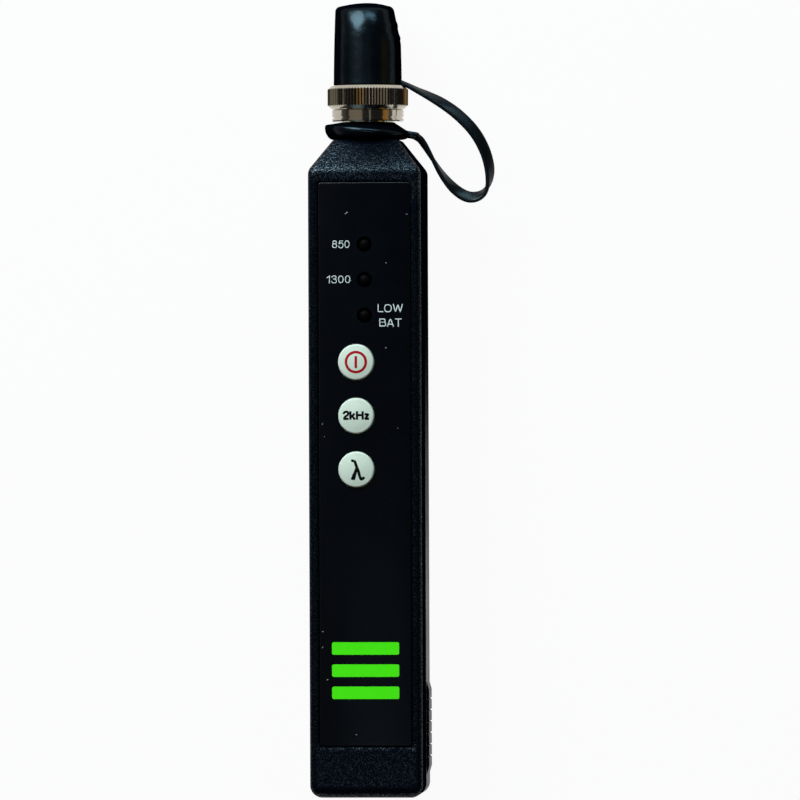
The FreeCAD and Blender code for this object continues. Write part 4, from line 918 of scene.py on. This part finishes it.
@dataclass
class Case:
    """The two shells, the battery door and the screws that hold them."""

    paint: Paintbox
    head_radius: float = 1.9
    head_height: float = 1.4
    head_edge: float = 0.35
    head_steps: int = 48
    shank_radius: float = 1.0
    tip: float = 0.6
    cross_reach: float = 1.15
    cross_half: float = 0.3
    cross_depth: float = 0.7
    lip_wide: float = 1.1
    lip_thick: float = 0.21
    lip_gap: float = 0.02
    lip_inset: float = 0.06
    lip_low_z: float = 0.6
    lip_high_z: float = 10.6

    def screw(self, length: float) -> Mesh:
        """Build one cross-recessed screw that stands on its head.

        Args:
            length: its whole length in millimetres.

        Returns:
            The screw, with its head's face at zero height.
        """
        rim = self.head_radius
        shank = self.shank_radius
        round_off = arc((rim - self.head_edge, self.head_edge), self.head_edge, -90, 0, CORNER_STEPS)
        profile = [(0.0, 0.0), *round_off, (rim, self.head_height), (shank, self.head_height),
                   (shank, length - self.tip), (shank - self.tip, length), (0.0, length)]
        blank = lathe("screw_blank", profile, self.head_steps)
        blank.transform(Matrix.Rotation(math.radians(90), 4, "X"))
        reach, half = self.cross_reach, self.cross_half
        cross = [(reach, half), (half, half), (half, reach)]
        outline = list(cross)
        outline += [(-y, x) for x, y in cross]
        outline += [(-x, -y) for x, y in cross]
        outline += [(y, -x) for x, y in cross]
        return carved("case_screw", blank, flat_mesh("screw_cross", [outline], 2 * self.cross_depth))

    def lips(self) -> Object:
        """Build the thin lips that close the slit over the battery door at both sides.

        Returns:
            The two lips, in place.
        """
        shell = Vector(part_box("front_shell")[1]) / MM
        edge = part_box("rear_shell")[0][1] / MM
        work = bmesh.new()
        size = Vector((self.lip_wide, self.lip_thick, self.lip_high_z - self.lip_low_z))
        for side in (-1, 1):
            place = shift(side * (shell.x - self.lip_inset - self.lip_wide / 2),
                          edge - self.lip_thick / 2 - self.lip_gap, (self.lip_low_z + self.lip_high_z) / 2)
            bmesh.ops.create_cube(work, size=1.0, matrix=place @ Matrix.Diagonal((*(size * MM), 1.0)))
        return new_object("door_lips", mesh_of_work("door_lips", work))

    def build(self) -> None:
        """Dress the shells and the door, and set the four screws."""
        self.paint.dress(CASE_ABS, "front_shell")
        self.paint.dress(BACK_ABS, "rear_shell", "battery_door")
        self.paint.coat(self.lips(), BACK_ABS, Body.CASE)
        low, high = (Vector(corner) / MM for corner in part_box("case_screws"))
        meshes = []
        for x in (low.x + self.head_radius, high.x - self.head_radius):
            for y in (low.y + self.head_radius, high.y - self.head_radius):
                mesh = self.screw(high.z - low.z)
                mesh.transform(shift(x, y, low.z))
                meshes.append(mesh)
        screws = new_object("cross_screws", joined("cross_screws", meshes))
        self.paint.coat(screws, BRIGHT_STEEL, Body.CASE)
        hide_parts("case_screws")


@dataclass(frozen=True)
class Fleck:
    """A speck of dust: its place on the front, its size and the way it lies."""

    x: float
    y: float
    length: float
    width: float
    turn: float = 0.0


@dataclass
class FrontPanel:
    """The printed film in the front recess, with the holes for lamps and keys, its print and its dust."""

    paint: Paintbox
    corner: float = 0.6
    edge: float = 0.18
    key_hole: float = 3.95
    lamp_hole: float = 1.6
    hole_steps: int = 64
    punch_length: float = 2.0
    legends: tuple[Legend, ...] = (
        Legend("legend_850", "850", -4.84, 46.55, 3.75, 1.68, 0.165),
        Legend("legend_1300", "1300", -5.4, 39.25, 5.2, 1.68, 0.165),
        Legend("legend_low", "LOW", 5.4, 33.2, 5.35, 1.76, 0.195),
        Legend("legend_bat", "BAT", 5.42, 30.25, 4.7, 1.76, 0.195),
    )
    bars_middle: Point = (0.0, -42.0)
    bar_count: int = 3
    bar_pitch: float = 4.6
    bar_half: Point = (7.0, 1.3)
    bar_corner: float = 0.4
    bar_ink: float = 0.02
    dust_thick: float = 0.05
    dust_fineness: int = 2
    dust: tuple[Fleck, ...] = (
        Fleck(-3.68, 53.0, 0.42, 0.1, 30.0), Fleck(8.9, 52.7, 0.14, 0.1), Fleck(4.57, 42.6, 0.13, 0.1),
        Fleck(4.47, 25.0, 0.16, 0.12), Fleck(-1.97, -55.3, 0.14, 0.11), Fleck(6.9, 8.3, 0.1, 0.07, 80.0),
        Fleck(-7.95, -43.9, 0.16, 0.12, 40.0), Fleck(-8.9, -33.9, 0.14, 0.1),
        Fleck(-9.0, -37.2, 0.18, 0.09, 70.0), Fleck(-8.8, 9.2, 0.15, 0.1, 60.0), Fleck(-8.4, 6.6, 0.1, 0.08),
    )

    def film(self) -> Object:
        """Build the film with a rounded border and six punched holes.

        Returns:
            The film, in place.
        """
        low, high = (Vector(corner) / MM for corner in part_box("overlay_panel"))
        half = (high - low) / 2
        centre = (high + low) / 2
        outline = rounded_rectangle((0.0, 0.0), half.x, half.y, self.corner)
        punches = []
        holes = [(key, self.key_hole) for key in ("key_power", "key_tone", "key_wavelength")]
        holes += [(lamp, self.lamp_hole) for lamp in ("lamp_850", "lamp_1300", "lamp_low_battery")]
        for node, radius in holes:
            spot = middle(node) / MM - centre
            punches.append(circle((spot.x, spot.y), radius, self.hole_steps))
        sheet = flat_mesh("panel_sheet", [outline], 2 * half.z, self.edge)
        mesh = carved("panel_film", sheet, flat_mesh("panel_punches", punches, 2 * self.punch_length))
        mesh.transform(Matrix.Translation(centre * MM))
        return new_object("panel_film", mesh)

    def bars(self) -> Mesh:
        """Build the plain bars printed on the lower part of the film.

        Returns:
            The bars about zero height.
        """
        x, y = self.bars_middle
        lift = (self.bar_count - 1) / 2
        middles = [(x, y + (number - lift) * self.bar_pitch) for number in range(self.bar_count)]
        outlines = [rounded_rectangle(spot, *self.bar_half, self.bar_corner) for spot in middles]
        return flat_mesh("panel_bars", outlines, self.bar_ink)

    def flecks(self) -> Mesh:
        """Build the dust as small flat lumps.

        Returns:
            The flecks about zero height.
        """
        work = bmesh.new()
        for fleck in self.dust:
            turn = Matrix.Rotation(math.radians(fleck.turn), 4, "Z")
            size = Matrix.Diagonal((fleck.length * MM, fleck.width * MM, self.dust_thick * MM, 1.0))
            bmesh.ops.create_icosphere(work, subdivisions=self.dust_fineness, radius=1.0,
                                       matrix=shift(fleck.x, fleck.y) @ turn @ size)
        return mesh_of_work("dust_flecks", work)

    def build(self) -> None:
        """Build the film, its print and the dust on it."""
        film = self.film()
        self.paint.coat(film, PANEL_FILM, Body.CASE)
        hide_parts("overlay_panel")
        face = Matrix.Translation((0.0, 0.0, top("overlay_panel")))
        prints = [("panel_bars", self.bars(), GREEN_INK), ("dust_flecks", self.flecks(), DUST_LINT)]
        for legend in self.legends:
            mesh = legend.mesh()
            mesh.transform(shift(legend.x, legend.y))
            prints.append((legend.name, mesh, WHITE_INK))
        for name, mesh, finish in prints:
            mesh.transform(face)
            self.paint.coat(new_object(name, mesh), finish, Body.CASE)


@dataclass
class Keys:
    """The three round keys and the signs printed on their domes."""

    paint: Paintbox
    dome_chord: float = 3.25
    dome_rise: float = 0.35
    signs: tuple[tuple[str, Body, Legend, Finish], ...] = (
        ("key_power", Body.POWER_KEY,
         Legend("sign_power", ("power",), 0.03, 0.0, 4.6, 4.6, 0.55), RED_INK),
        ("key_tone", Body.TONE_KEY,
         Legend("sign_tone", "2kHz", 0.03, 0.08, 5.5, 1.74, 0.48), BLACK_INK),
        ("key_wavelength", Body.WAVELENGTH_KEY,
         Legend("sign_wavelength", ("lambda",), 0.32, -0.08, 2.9, 4.1, 0.58), BLACK_INK),
    )

    def drape(self, mesh: Mesh) -> None:
        """Lay a flat print on a key's dome.

        Args:
            mesh: the print, centred on the dome.
        """
        bend = (self.dome_chord ** 2 + self.dome_rise ** 2) / (2 * self.dome_rise) * MM
        for vertex in mesh.vertices:
            reach = vertex.co.x ** 2 + vertex.co.y ** 2
            vertex.co.z -= bend - math.sqrt(bend ** 2 - reach)

    def build(self) -> None:
        """Dress the keys and print their signs."""
        for node, body, sign, ink in self.signs:
            self.paint.dress(KEY_ABS, node)
            mesh = sign.mesh()
            mesh.transform(shift(sign.x, sign.y))
            self.drape(mesh)
            spot = middle(node)
            mesh.transform(Matrix.Translation((spot.x, spot.y, top(node))))
            self.paint.coat(new_object(sign.name, mesh), ink, body)


@dataclass
class OpticalPort:
    """The plated port, its knurled coupling ring and the adapter under the cap."""

    paint: Paintbox

    def dress(self) -> None:
        """Put the plating and the ceramic on the port's pieces."""
        self.paint.dress(PORT_NICKEL, "port_body", "port_washer", "port_nut", "port_adapter")
        self.paint.dress(RING_NICKEL, "coupling_ring")
        self.paint.dress(SLEEVE_ZIRCONIA, "alignment_sleeve")


@dataclass
class DustCap:
    """The soft cap over the port, whose crown has set a little flat in front and on the right."""

    paint: Paintbox
    bore: float = 5.45
    radius: float = 7.1
    rim: float = 7.14
    rim_height: float = 0.3
    rim_chamfer: float = 0.1
    flare: float = 0.8
    flare_steps: int = 7
    roof: float = 2.2
    roof_corner: float = 0.6
    crown: float = 6.75
    crown_round: float = 1.1
    crown_turn: float = 78.0
    crown_steps: int = 8
    dome: float = 0.7
    dome_steps: int = 12
    side_steps: int = 28
    side_taper: float = 1.5
    steps: int = 128
    lean_from: float = 88.5
    lean_rise: float = 8.0
    lean_share: float = 0.2
    pinch_share: float = 0.32
    pinch_rise: int = 3
    creases: tuple[float, ...] = (92.5, 89.9)
    crease_height: float = 0.22
    crease_half: float = 0.45
    crease_spread: int = 3

    def profile(self, low: float, high: float) -> list[Point]:
        """Draw the cap's section.

        Args:
            low: the height of its mouth.
            high: the height of its top.

        Returns:
            The section from the roof's underside, round the mouth and up to the top.
        """
        roof = high - self.roof
        edge = high - self.dome
        shoulder = edge - self.crown_round
        flare_top = low + self.rim_height + self.flare
        points = [(0.0, roof)]
        inside = (self.bore - self.roof_corner, roof - self.roof_corner)
        points += arc(inside, self.roof_corner, 90, 0, CORNER_STEPS)
        points += [(self.bore, low), (self.rim - self.rim_chamfer, low), (self.rim, low + self.rim_chamfer),
                   (self.rim, low + self.rim_height)]
        for step in range(1, self.flare_steps):
            share = step / self.flare_steps
            points.append((self.rim - (self.rim - self.radius) * math.sin(share * math.pi / 2),
                           low + self.rim_height + self.flare * share))
        for step in range(self.side_steps):
            share = step / self.side_steps
            points.append((self.radius + (self.crown - self.radius) * share ** self.side_taper,
                           flare_top + (shoulder - flare_top) * share))
        chord = self.crown - self.crown_round
        points += arc((chord, shoulder), self.crown_round, 0, self.crown_turn, self.crown_steps)
        for step in range(1, self.dome_steps + 1):
            share = 1 - step / self.dome_steps
            points.append((chord * share, edge + self.dome * (1 - share ** 2)))
        return points

    def settle(self, mesh: Mesh) -> None:
        """Set the front of the crown back, lean its right side in and leave two faint creases.

        Args:
            mesh: the cap's mesh, turned round the Y axis.
        """
        for vertex in mesh.vertices:
            x, y, z = vertex.co / MM
            rise = min(max((y - self.lean_from) / self.lean_rise, 0.0), 1.0)
            if z > 0:
                vertex.co.z = z * (1 - self.pinch_share * rise ** self.pinch_rise) * MM
            if x > 0:
                swell = sum(math.exp(-((y - crease) / self.crease_half) ** 2) for crease in self.creases)
                share = (x / self.radius) ** self.crease_spread
                vertex.co.x = (x * (1 - self.lean_share * rise) + self.crease_height * swell * share) * MM

    def build(self) -> None:
        """Build the cap in place of its plain solid."""
        low, high = (Vector(corner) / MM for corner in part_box("dust_cap"))
        mesh = lathe("soft_cap", self.profile(low.y, high.y), self.steps)
        self.settle(mesh)
        mesh.transform(Matrix.Translation((0.0, 0.0, middle("dust_cap").z)))
        cap = new_object("soft_cap", mesh)
        self.paint.coat(cap, CAP_PVC, Body.CAP)
        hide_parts("dust_cap")


@dataclass
class Tether:
    """The soft ring round the port's neck and the strap from it to the cap."""

    paint: Paintbox
    axis_z: float = 11.0
    inner: float = 5.4
    outer: float = 9.0
    hub_top: float = 72.2
    rim_top: float = 70.75
    rim_fall_right: float = 0.95
    rim_fall_front: float = 0.1
    underside: float = 68.53
    steps: int = 128
    # The ring's section: shares of its band from the inside out and of its height from below
    section: tuple[Point, ...] = (
        (0.0, 0.05), (0.03, 0.0), (0.52, 0.0), (0.66, 0.04), (0.8, 0.16), (0.92, 0.38), (0.98, 0.58),
        (1.0, 0.74), (0.995, 0.86), (0.97, 0.95), (0.93, 0.99), (0.88, 1.0), (0.03, 1.0), (0.0, 0.95),
    )
    tab_from: float = 7.2
    tab_to: float = 10.7
    tab_low: float = 68.75
    tab_high: float = 70.25
    tab_width: float = 3.0
    tab_edge: float = 0.45
    tab_edge_steps: int = 3
    tab_edge_bulge: float = 0.5
    tab_fall: float = 10.0
    strap_width: float = 2.6
    strap_thick: float = 0.9
    strap_steps: int = 16
    strap_edge_steps: int = 3
    strap_smooth: float = 60.0
    # The strap's route in X and Y on the port axis plane, from inside the cap's wall to the ring's tab,
    # with the roll in degrees of its broad face from upright at each point
    route: tuple[tuple[float, float, float], ...] = (
        (6.2, 80.8, 4.0), (8.4, 79.85, 6.0), (10.3, 78.85, 14.0), (12.8, 77.65, 32.0), (15.9, 75.95, 54.0),
        (19.2, 73.5, 64.0), (22.5, 70.05, 62.0), (24.75, 65.8, 56.0), (25.7, 61.3, 40.0), (24.7, 57.3, -22.0),
        (21.5, 56.05, -68.0), (18.3, 57.8, -52.0), (15.4, 61.2, -18.0), (13.2, 65.0, 8.0), (11.7, 67.6, 24.0),
        (10.6, 69.0, 24.0), (9.4, 69.4, 20.0),
    )
    stretch_direction: tuple[float, float, float] = (0.75, 1.0, 0.0)
    stretch_from: float = 77.2
    stretch_to: float = 85.3

    def ring(self) -> Mesh:
        """Build the ring, flat where it rests on the case and falling to the right above.

        Returns:
            The ring, in place.
        """
        band = self.outer - self.inner
        profile = [(self.inner + band * out, height) for out, height in self.section]
        mesh = lathe("tether_ring", profile, self.steps)
        for vertex in mesh.vertices:
            x, share, z = vertex.co / MM
            out = (math.hypot(x, z) - self.inner) / band
            fall = (self.rim_fall_right * x + self.rim_fall_front * z) / self.outer
            rim = self.rim_top - fall
            above = self.hub_top + out * (rim - self.hub_top)
            vertex.co.y = (self.underside + share * (above - self.underside)) * MM
        mesh.transform(shift(0.0, 0.0, self.axis_z))
        return mesh

    def tab(self) -> Mesh:
        """Build the tab that the strap leaves from.

        Returns:
            The tab, in place.
        """
        work = bmesh.new()
        size = Vector((self.tab_to - self.tab_from, self.tab_high - self.tab_low, self.tab_width)) * MM
        place = shift((self.tab_from + self.tab_to) / 2, (self.tab_low + self.tab_high) / 2, self.axis_z)
        turned = place @ Matrix.Rotation(math.radians(-self.tab_fall), 4, "Z")
        bmesh.ops.create_cube(work, size=1.0, matrix=turned @ Matrix.Diagonal((*size, 1.0)))
        bmesh.ops.bevel(work, geom=list(work.edges), offset=self.tab_edge * MM, segments=self.tab_edge_steps,
                        affect="EDGES", profile=self.tab_edge_bulge)
        return mesh_of_work("tether_tab", work)

    def strap(self) -> Object:
        """Build the strap along its route.

        Returns:
            The strap, in place.
        """
        curve = bpy.data.curves.new("tether_strap", "CURVE")
        curve.dimensions = "3D"
        curve.twist_mode = "Z_UP"
        spline = curve.splines.new("NURBS")
        spline.points.add(len(self.route) - 1)
        for point, (x, y, roll) in zip(spline.points, self.route):
            point.co = (x * MM, y * MM, self.axis_z * MM, 1.0)
            point.tilt = math.radians(roll)
        spline.order_u = 3
        spline.use_endpoint_u = True
        spline.resolution_u = self.strap_steps
        curve.extrude = (self.strap_width - self.strap_thick) / 2 * MM
        curve.bevel_depth = self.strap_thick / 2 * MM
        curve.bevel_resolution = self.strap_edge_steps
        curve.use_fill_caps = True
        return new_object("tether_strap", mesh_of_curve("tether_strap", curve), self.strap_smooth)

    def build(self) -> None:
        """Build the ring with its tab, and the strap that bends between case and cap."""
        ring = new_object("tether_ring", joined("tether_ring", [self.ring(), self.tab()]))
        self.paint.coat(ring, CAP_PVC, Body.CASE)
        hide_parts("cap_tether")
        strap = self.strap()
        self.paint.coat(strap, STRAP_PVC)
        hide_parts("cap_tether")
        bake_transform(strap)


@dataclass
class Insides:
    """What the case holds: lamps, switches, board, cell and contacts."""

    paint: Paintbox

    def dress(self) -> None:
        """Put finishes on the inner pieces."""
        self.paint.dress(LAMP_EPOXY, "lamp_850", "lamp_1300", "lamp_low_battery")
        self.paint.dress(SWITCH_NYLON, "switch_power", "switch_tone", "switch_wavelength", "plunger_power",
                         "plunger_tone", "plunger_wavelength", "driver_chip", "boost_coil")
        self.paint.dress(BOARD_LAMINATE, "main_board")
        self.paint.dress(CELL_JACKET, "battery_cell")
        self.paint.dress(LEAD_PVC, "battery_lead")
        self.paint.dress(BRIGHT_STEEL, "board_screws", "contact_spring", "contact_plate", "lamp_leads",
                         "emitter_can", "emitter_leads", "filter_capacitor")


# Studio


@dataclass(frozen=True)
class Softbox:
    """A rectangle of soft light that faces the object: its place, size in metres, brightness and colour."""

    name: str
    place: tuple[float, float, float]
    width: float
    height: float
    radiance: float
    colour: str = WHITE

    def build(self, target: Vector) -> None:
        """Hang the softbox so that it faces the target.

        Args:
            target: the point that it faces.
        """
        light = bpy.data.lights.new(self.name, "AREA")
        light.shape = "RECTANGLE"
        light.size = self.width
        light.size_y = self.height
        light.energy = self.radiance * math.pi * self.width * self.height
        light.color = srgb(self.colour)[:3]
        lamp = bpy.data.objects.new(self.name, light)
        lamp.location = self.place
        lamp.rotation_euler = (target - Vector(self.place)).to_track_quat("-Z", "Y").to_euler()
        bpy.context.scene.collection.objects.link(lamp)


@dataclass
class Studio:
    """The camera above the object, the pale floor and plain soft light."""

    distance: float = 1.69
    lean: float = 4.5
    roll: float = 0.22
    aim_mm: tuple[float, float, float] = (6.5, 14.15, 11.0)
    view_width_mm: float = 167.1
    sensor_mm: float = 36.0
    clip_end: float = 50.0
    floor_half: float = 4.0
    floor_drop_mm: float = 0.2
    floor_colour: str = "#bcbcba"
    floor_glow: float = 0.95
    floor_gleam: float = 0.95
    room_gleam: float = 0.01
    horizon: float = 0.12
    zenith: float = 0.008
    zenith_from: float = 0.5
    lights: tuple[Softbox, ...] = (
        Softbox("window_left", (-0.38, 0.62, 0.55), 0.5, 0.5, 13.8, "#dcebf4"),
        Softbox("window_far", (0.22, 0.88, 0.6), 0.6, 0.25, 9.0, "#bfe0f2"),
        Softbox("wall_far", (0.0, 1.2, 0.12), 1.2, 0.25, 1.5, "#cfe6f2"),
        Softbox("ceiling_left", (-0.6, 0.12, 0.83), 0.8, 0.85, 0.22, "#fff4e0"),
        Softbox("ceiling_near", (0.0, -0.25, 1.2), 0.5, 0.2, 2.0, "#dcebf8"),
        Softbox("strip_right", (0.2, 0.1, 1.0), 0.5, 0.035, 0.5),
        Softbox("lamp_right", (0.75, 0.1, 0.37), 0.35, 0.3, 0.42, "#e8ae48"),
    )

    def camera(self) -> None:
        """Set up the camera at the photograph's viewing angle."""
        aim = Vector(self.aim_mm) * MM
        lean = math.radians(self.lean)
        roll = math.radians(self.roll)
        ahead = Vector((-math.sin(lean), 0.0, -math.cos(lean)))
        across = Vector((math.cos(lean), 0.0, -math.sin(lean)))
        along = Vector((0.0, 1.0, 0.0))
        right = across * math.cos(roll) - along * math.sin(roll)
        upward = along * math.cos(roll) + across * math.sin(roll)
        data = bpy.data.cameras.new("camera")
        data.sensor_width = self.sensor_mm
        data.lens = self.sensor_mm * self.distance / (self.view_width_mm * MM)
        data.clip_end = self.clip_end
        camera = bpy.data.objects.new("camera", data)
        turned = Matrix((right, upward, -ahead)).transposed()
        camera.matrix_world = Matrix.Translation(aim - ahead * self.distance) @ turned.to_4x4()
        bpy.context.scene.collection.objects.link(camera)
        bpy.context.scene.camera = camera

    def whiteness(self, tree: NodeTree, gleam: float) -> NodeSocket:
        """Tell how far the floor and the room turn white for the ray that meets them.

        Args:
            tree: the tree of the floor's material or of the world.
            gleam: the share of white in reflections.

        Returns:
            The share of white: nearly all for the camera and through glass, the gleam in reflections.
        """
        paths = add_node(tree, "ShaderNodeLightPath").outputs
        seen = add_node(tree, "ShaderNodeMath", {0: paths["Is Camera Ray"], 1: paths["Is Transmission Ray"]},
                        operation="ADD", use_clamp=True)
        straight = add_node(tree, "ShaderNodeMath", {0: seen.outputs[0], 1: self.floor_glow},
                            operation="MULTIPLY")
        share = add_node(tree, "ShaderNodeMath",
                         {0: paths["Is Glossy Ray"], 1: gleam, 2: straight.outputs[0]},
                         operation="MULTIPLY_ADD", use_clamp=True)
        return share.outputs[0]

    def floor(self) -> None:
        """Lay a pale floor that reads as white to the camera and keeps a soft shadow."""
        half = self.floor_half
        drop = -self.floor_drop_mm * MM
        mesh = bpy.data.meshes.new("floor")
        corners = [(-half, -half, drop), (half, -half, drop), (half, half, drop), (-half, half, drop)]
        mesh.from_pydata(corners, [], [(0, 1, 2, 3)])
        floor = bpy.data.objects.new("floor", mesh)
        bpy.context.scene.collection.objects.link(floor)
        material = bpy.data.materials.new("painted_board_white")
        material.use_nodes = True
        tree = material.node_tree
        tree.nodes.clear()
        share = self.whiteness(tree, self.floor_gleam)
        paint = add_node(tree, "ShaderNodeBsdfDiffuse", {"Color": srgb(self.floor_colour)})
        glow = add_node(tree, "ShaderNodeEmission", {"Color": srgb(WHITE), "Strength": 1.0})
        mixed = add_node(tree, "ShaderNodeMixShader", {0: share, 1: paint.outputs[0], 2: glow.outputs[0]})
        add_node(tree, "ShaderNodeOutputMaterial", {"Surface": mixed.outputs[0]})
        mesh.materials.append(material)

    def world(self) -> None:
        """Give a dim room, paler round the horizon and darker overhead, that the camera sees as white."""
        world = bpy.data.worlds.new("room")
        world.use_nodes = True
        bpy.context.scene.world = world
        tree = world.node_tree
        tree.nodes.clear()
        direction = add_node(tree, "ShaderNodeTexCoord").outputs["Generated"]
        parts = add_node(tree, "ShaderNodeSeparateXYZ", {"Vector": direction})
        dim = add_node(tree, "ShaderNodeMapRange", {"Value": parts.outputs["Z"], "From Max": self.zenith_from,
                                                    "To Min": self.horizon, "To Max": self.zenith})
        strength = add_node(tree, "ShaderNodeMix", {MIX_SHARE: self.whiteness(tree, self.room_gleam),
                                                    MIX_NUMBER_A: dim.outputs["Result"], MIX_NUMBER_B: 1.0})
        sky = add_node(tree, "ShaderNodeBackground", {"Color": srgb(WHITE), "Strength": strength.outputs[0]})
        add_node(tree, "ShaderNodeOutputWorld", {"Surface": sky.outputs[0]})

    def build(self) -> None:
        """Set up the camera, the floor, the lights and the room."""
        bpy.context.scene.view_settings.view_transform = "Standard"
        self.camera()
        self.floor()
        for light in self.lights:
            light.build(Vector(self.aim_mm) * MM)
        self.world()


def main() -> None:
    """Build the studio, then each sub-assembly in turn."""
    logging.basicConfig(level=logging.INFO, format="%(name)s: %(message)s")
    paint = Paintbox()
    Studio().build()
    Tether(paint).build()
    DustCap(paint).build()
    Case(paint).build()
    FrontPanel(paint).build()
    Keys(paint).build()
    OpticalPort(paint).dress()
    Insides(paint).dress()


if __name__ == "__main__":
    main()
